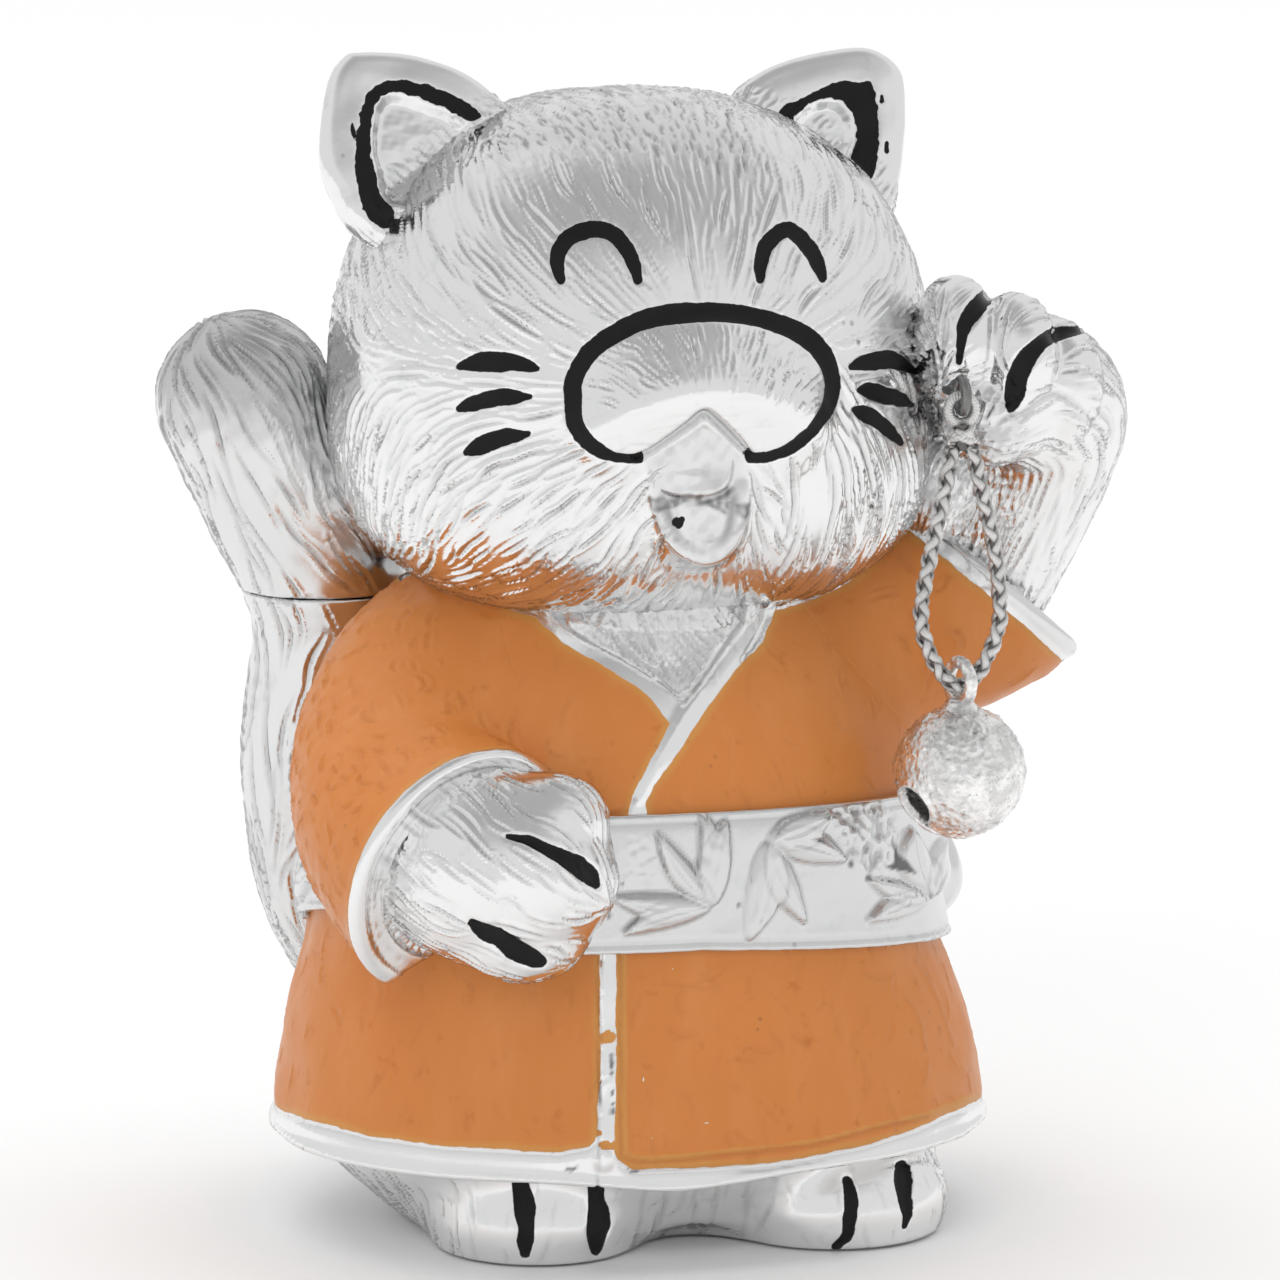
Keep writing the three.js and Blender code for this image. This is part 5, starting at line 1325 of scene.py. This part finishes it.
# ---------------------------------------------------------------- resting paw
PAW_R = [(-26.6, -13, 45, 7.4), (-25.0, -19.4, 42.6, 9.4), (-21.0, -25.8, 41.0, 9.9), (-18.2, -28.0, 40.4, 9.2)]
TOES_R = [((-15.6, -29.8, 45.8), (5.6, 4.9, 4.6)), ((-15.0, -30.6, 39.4), (5.6, 4.9, 4.4)), ((-18.4, -30.2, 34.2), (6.0, 4.8, 4.1))]
SLITS_R = [[(507, 836, 1.5), (528, 840, 4.4), (545, 848, 5.4), (561, 856, 7), (577, 865, 9), (588, 874, 8.5), (596, 884, 4)],
           [(472, 923, 3), (485, 933, 7.6), (499, 938, 8.3), (516, 951, 9.8), (529, 957, 9), (541, 962, 5)]]


def paw_field(p):
    d = limb(p, PAW_R)
    for c, r in TOES_R:
        d = smin(d, ell(p, c, r), 0.9)
    return d


rng = np.random.default_rng(320)
V, Q, N = surface(paw_field, (-35, -37, 26), (-6, -5, 52), 0.27)
U_, V_ = pixel(V)
front = (N @ BACK) > 0.0
black = np.full(len(V), 9.0)
for rows in SLITS_R:
    black = np.minimum(black, np.where(front, trace(U_, V_, rows) * PX, 9.0))
kd = kd_of(V)
groove, ridge = np.zeros(len(V)), np.zeros(len(V))
area = vertex_area(V, Q)
flow_paw = lambda p, n: along_limb(p, PAW_R)[0] + 0.2 * waves(p, 9, 71)[:, None] * vec(0, 0, 1) - vec(0, 0, 0.45)
s = scatter(V, area, 2.1, rng, (black > 0.6).astype(float))
fur(paw_field, V, kd, s, flow_paw, 6.0, 0.33, 0.2, groove, ridge, rng, 0.9, bend=0.5)
disp = ridge - groove - 0.45 * step(black, 0.3, -0.35) + 0.04 * waves(V, 5, 47)
make_object("paw_casting", V + N * disp[:, None], Q, PLATED, "figure", ["right_paw"], {"black": black, "groove": np.clip(groove / 0.4, 0, 1)})

# ---------------------------------------------------------------- raised arm
ARM = [(33, -2.4, 57.4, 6.4), (35.0, -4, 62, 6.9), (36.9, -6.6, 69, 7.8), (39.2, -10.2, 76.4, 7.8), (39.2, -13.4, 81.6, 8.0), (35, -17.8, 84.4, 7.4), (31, -21.6, 82.6, 5.2)]
TOES_L = [((27.8, -20.4, 89.4), (4.2, 6.0, 6.7)), ((33.2, -22, 88.2), (4.3, 5.6, 6.2)), ((38.2, -19.8, 85), (4.6, 5.6, 6.4))]
PAD = ((30.6, -22.8, 80.6), (2.9, 2.9, 2.9))
HEEL = ((30.4, -7.0, 74.2), (5.2, 5.8, 8.2))
SLITS_L = [[(1003, 291, 2.5), (991, 293, 4.8), (984, 299, 7), (974, 311, 8.2), (965, 324, 7), (962, 336, 4.6), (960, 350, 3.6), (959, 362, 2)],
           [(1084, 330, 1.5), (1072, 331, 4.4), (1059, 333, 6.4), (1041, 343, 6.6), (1028, 357, 9), (1019, 373, 9.6), (1015, 392, 9.6), (1011, 408, 4)]]


def arm_field(p):
    d = limb(p, ARM)
    for c, r in TOES_L:
        d = smin(d, ell(p, c, r), 0.7)
    d = smin(d, ell(p, *HEEL), 1.5)
    return smin(d, ell(p, *PAD), 0.5)


rng = np.random.default_rng(330)
V, Q, N = surface(lambda p: smax(arm_field(p), -(head_field(p) + 1.0), 0.2), (21, -31, 50), (50, 6, 98), 0.28)
U_, V_ = pixel(V)
front = (N @ BACK) > 0.0
black = np.full(len(V), 9.0)
for rows in SLITS_L:
    black = np.minimum(black, np.where(front & (V[:, 2] > 78), trace(U_, V_, rows) * PX, 9.0))
kd = kd_of(V)
groove, ridge = np.zeros(len(V)), np.zeros(len(V))
area = vertex_area(V, Q)
flow_arm = lambda p, n: along_limb(p, ARM)[0] + 0.2 * waves(p, 9, 72)[:, None] * vec(0, 1, 0)
# painted shadow on the palm under the fingers, mottled by the crust noise
shaded_palm = np.where(front & (V[:, 1] < -6), step(patch(U_, V_, [(905, 300), (945, 318), (962, 372), (985, 395), (1012, 408), (1022, 432), (1012, 480), (1012, 540), (1005, 590), (960, 575), (905, 520)]), 10, -8), 0.0)
top_hand = (V[:, 2] > 80) & (shaded_palm < 0.3)
s = scatter(V, area, 2.2, rng, (black > 0.6) * np.where(top_hand, 0.6, 1.0))
fur(arm_field, V, kd, s, flow_arm, 7.5, 0.34, 0.2, groove, ridge, rng, 0.8, bend=0.35)
s = scatter(V, area, 1.1, rng, shaded_palm)
fur(arm_field, V, kd, s, flow_arm, 4.6, 0.32, 0.24, groove, ridge, rng, 0.9, bend=0.8)
crust = np.clip(0.5 * waves(V, 1.1, 57) + 0.5 * waves(V, 2.6, 58), -1, 1)
fold = np.where(front, trace(U_, V_, [(1010, 416, 1), (1023, 412, 1.5), (1040, 400, 1.5), (1057, 393, 1.5), (1077, 406, 1.5), (1095, 424, 1.2), (1108, 438, 0.8)]), 99.0)
disp = ridge - groove - 0.4 * step(black, 0.3, -0.35) + 0.04 * waves(V, 5, 48) + 0.07 * shaded_palm * crust - 0.35 * step(fold, 4.0, -2.0)
mark = np.clip(groove / 0.36, 0, 1) * 0.8
mark = np.maximum(mark, 0.6 * shaded_palm * step(crust, 0.25, -0.6))
mark = np.maximum(mark, 0.5 * step(fold, 2.5, -2.0))
make_object("arm_casting", V + N * disp[:, None], Q, PLATED, "figure", ["raised_arm"], {"black": black, "groove": mark})

# ---------------------------------------------------------------- tail, in two castings
SEAM = 61.2
for name, node, sign, lo, hi, seed in (("tail_casting_lower", "tail_lower", -1, (-38, 10, 5), (0, 36, 63), 1), ("tail_casting_upper", "tail_upper", 1, (-47, 5, 59), (-16, 30, 93), 2)):
    rng = np.random.default_rng(340 + seed)
    def f(p, sign=sign):
        d = limb(p, TAIL)
        d = smax(d, sign * (SEAM + 0.15 - p[:, 2]) + 0.06, 0.16)
        return smax(d, -(coat_shape(p) + 1.0), 0.2) if sign < 0 else d
    V, Q, N = surface(f, lo, hi, 0.30)
    kd = kd_of(V)
    groove, ridge = np.zeros(len(V)), np.zeros(len(V))
    area = vertex_area(V, Q)
    cut_face = np.abs(V[:, 2] - SEAM) < 0.5
    flow_tail = lambda p, n: along_limb(p, TAIL)[0] + 0.35 * waves(p, 12, 73)[:, None] * vec(1, 0, 0)
    s = scatter(V, area, 2.5, rng, (~cut_face).astype(float))
    fur(f, V, kd, s, flow_tail, 9.0, 0.36, 0.22, groove, ridge, rng, 0.9, bend=0.4)
    disp = (ridge - groove) * ~cut_face + 0.04 * waves(V, 6, 49)
    # the tail's plating is painted a little darker all over as shade, and darker again towards its top
    make_object(name, V + N * disp[:, None], Q, PLATED, "figure", [node], {"black": np.full(len(V), 9.0), "groove": np.clip(groove / 0.40 + 0.22 + 0.34 * step(V[:, 2] + 1.6 * waves(V, 3.0, 74) + 0.12 * (V[:, 0] + 35), 75.5, 79.5), 0, 1)})

# ---------------------------------------------------------------- feet and the floor under the coat
STRIPES = [[(519, 1178, 6), (521, 1188, 8), (524, 1202, 9.6), (525, 1213, 9.6), (526, 1229, 7), (525, 1243, 7), (525, 1254, 4)],
           [(596, 1186, 7), (597, 1200, 7.5), (599, 1212, 9.5), (599, 1222, 10.5), (597, 1236, 8.8), (596, 1252, 3.5)],
           [(847, 1180, 4), (851, 1195, 6), (851, 1206, 6.2), (849, 1226, 5.6), (846, 1238, 4.5), (836, 1247, 3)],
           [(903, 1168, 7), (904, 1181, 8.4), (905, 1194, 6.6), (907, 1207, 5.4), (908, 1216, 3.8), (905, 1227, 1.5)]]


FEET = [((-13.0, -13.0, 3.2), (10.8, 11.3, 8.2)), ((17.3, -14.0, 3.2), (11.5, 11.6, 8.2))]


def feet_field(p):
    z = p[:, 2]
    d = np.full(len(p), 1e9)
    for c, r in FEET:
        d = smin(d, ell(p, c, r), 1.0)
    n = 2.4
    a, b = np.interp(z, [0, 2.2, 6.4, 9.6], [22.8, 25.6, 30.2, 33.0]), np.interp(z, [0, 2.2, 6.4, 9.6], [17.2, 19.8, 23.0, 25.0])
    slab = (((np.abs(p[:, 0]) / a) ** n + (np.abs(p[:, 1]) / b) ** n) ** (1 / n) - 1) * b * 0.85
    d = smin(d, slab, 2.6)
    arch = ell(p, (1.5, -24, -0.6), (6.8, 9.5, 3.4))
    d = smax(smax(d, z - hem_low(p) + 0.1, 0.3), 0.02 - z, 0.35)
    d = smax(d, -arch, 0.6)
    pit = smax((((np.abs(p[:, 0]) / 21.3) ** 2.2 + (np.abs(p[:, 1] - 1.5) / 13.8) ** 2.2) ** (1 / 2.2) - 1) * 13.8, z - 1.9, 0.1)
    return smax(d, -pit, 0.15)


rng = np.random.default_rng(350)
V, Q, N = surface(feet_field, (-34, -31, -1), (34, 27, 10.4), 0.32)
U_, V_ = pixel(V)
front = ((N @ BACK) > 0.0) & (V[:, 1] < -10)
black = np.full(len(V), 9.0)
for rows in STRIPES:
    black = np.minimum(black, np.where(front, trace(U_, V_, rows) * PX, 9.0))
kd = kd_of(V)
groove, ridge = np.zeros(len(V)), np.zeros(len(V))
area = vertex_area(V, Q)
toes = (V[:, 2] > 0.8) & (V[:, 2] < 8.9)
s = scatter(V, area, 3.0, rng, (toes & (black > 0.6)).astype(float))
fur(feet_field, V, kd, s, lambda p, n: np.stack([0.35 * np.sign(p[:, 0]), -0.5 + 0 * p[:, 0], -1 + 0 * p[:, 0]], 1), 3.2, 0.3, 0.11, groove, ridge, rng, 0.8, bend=0.5)
flank = toes & (black > 0.6) & ((np.abs(V[:, 0] + 13) > 8) & (np.abs(V[:, 0] - 17.3) > 8) | (V[:, 1] > -16))
s = scatter(V, area, 2.1, rng, flank.astype(float))
fur(feet_field, V, kd, s, lambda p, n: np.stack([-0.8 * np.sign(p[:, 0] + 1) * step(np.abs(p[:, 0]), 8, 20), 0.5 * np.sign(p[:, 1] + 2) * -1, -0.62 + 0 * p[:, 0]], 1), 7.0, 0.34, 0.15, groove, ridge, rng, 0.9, bend=0.15)
disp = ridge - groove - 0.45 * step(black, 0.3, -0.35) + 0.03 * waves(V, 5, 50) * toes
disp = np.where(V[:, 2] < 0.35, np.minimum(disp, 0) * 0, disp)
make_object("feet_casting_skin", V + N * disp[:, None], Q, PLATED, "figure", ["feet_casting"], {"black": black, "groove": np.clip(groove / 0.36, 0, 1)})

# the plate and its screws keep their solids
for node in ("base_plate", "base_screw_right", "base_screw_left"):
    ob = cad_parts[node]
    for s in ob.material_slots:
        s.material = STEEL

# ---------------------------------------------------------------- floor and light
floor_mat = Nodes("pale_floor")
floor_mat.link(floor_mat.mix(floor_mat.noise(3.0, 2.0), (0.83, 0.83, 0.83), (0.86, 0.86, 0.86)), "Base Color")
floor_mat.set(Roughness=0.75)
bpy.ops.mesh.primitive_plane_add(size=6.0, location=(0, 0, -0.0002))
floor = bpy.context.object
floor.name = "floor"
floor.data.materials.append(floor_mat.mat)

world = bpy.data.worlds.new("studio")
scene.world = world
world.use_nodes = True
wt = world.node_tree
bg = wt.nodes["Background"]
wc = wt.nodes.new("ShaderNodeTexCoord")


def world_range(x, a, b, c, d):
    n = wt.nodes.new("ShaderNodeMapRange")
    n.interpolation_type = "SMOOTHSTEP"
    for i, v in enumerate((x, a, b, c, d)):
        if isinstance(v, bpy.types.NodeSocket):
            wt.links.new(v, n.inputs[i])
        else:
            n.inputs[i].default_value = v
    return n.outputs[0]


lean = unit(BACK * vec(1, 1, 0)) * math.cos(math.radians(76)) + vec(0, 0, math.sin(math.radians(76)))
dim = wt.nodes.new("ShaderNodeVectorMath")
dim.operation = "DOT_PRODUCT"
wt.links.new(wc.outputs["Generated"], dim.inputs[0])
dim.inputs[1].default_value = tuple(lean)
shade = world_range(dim.outputs["Value"], 0.66, 0.985, 0.80, 0.45)  # even white walls, dimmer overhead
grey = wt.nodes.new("ShaderNodeCombineColor")
for i in range(3):
    wt.links.new(shade, grey.inputs[i])
wt.links.new(grey.outputs[0], bg.inputs[0])
bg.inputs[1].default_value = 1.0


def panel(name, place, aim, size, watts, mirrored=True):
    d = bpy.data.lights.new(name, "AREA")
    d.shape, d.size, d.size_y, d.energy = "RECTANGLE", size[0], size[1], watts
    ob = bpy.data.objects.new(name, d)
    scene.collection.objects.link(ob)
    z = unit(vec(*place) - vec(*aim))
    x = unit(np.cross([0, 1.0, 0.001], z))
    y = np.cross(z, x)
    ob.matrix_world = Matrix.Translation(place) @ Matrix(((x[0], y[0], z[0]), (x[1], y[1], z[1]), (x[2], y[2], z[2]))).to_4x4()
    ob.visible_glossy = mirrored
    return ob


panel("overhead", (0, 0.8, 3.0), (0, 0.8, 0), (4.0, 4.0), 72.0, False)
panel("key", (-0.8, -1.2, 0.9), (0, 0, 0.06), (0.9, 0.9), 4.0, False)
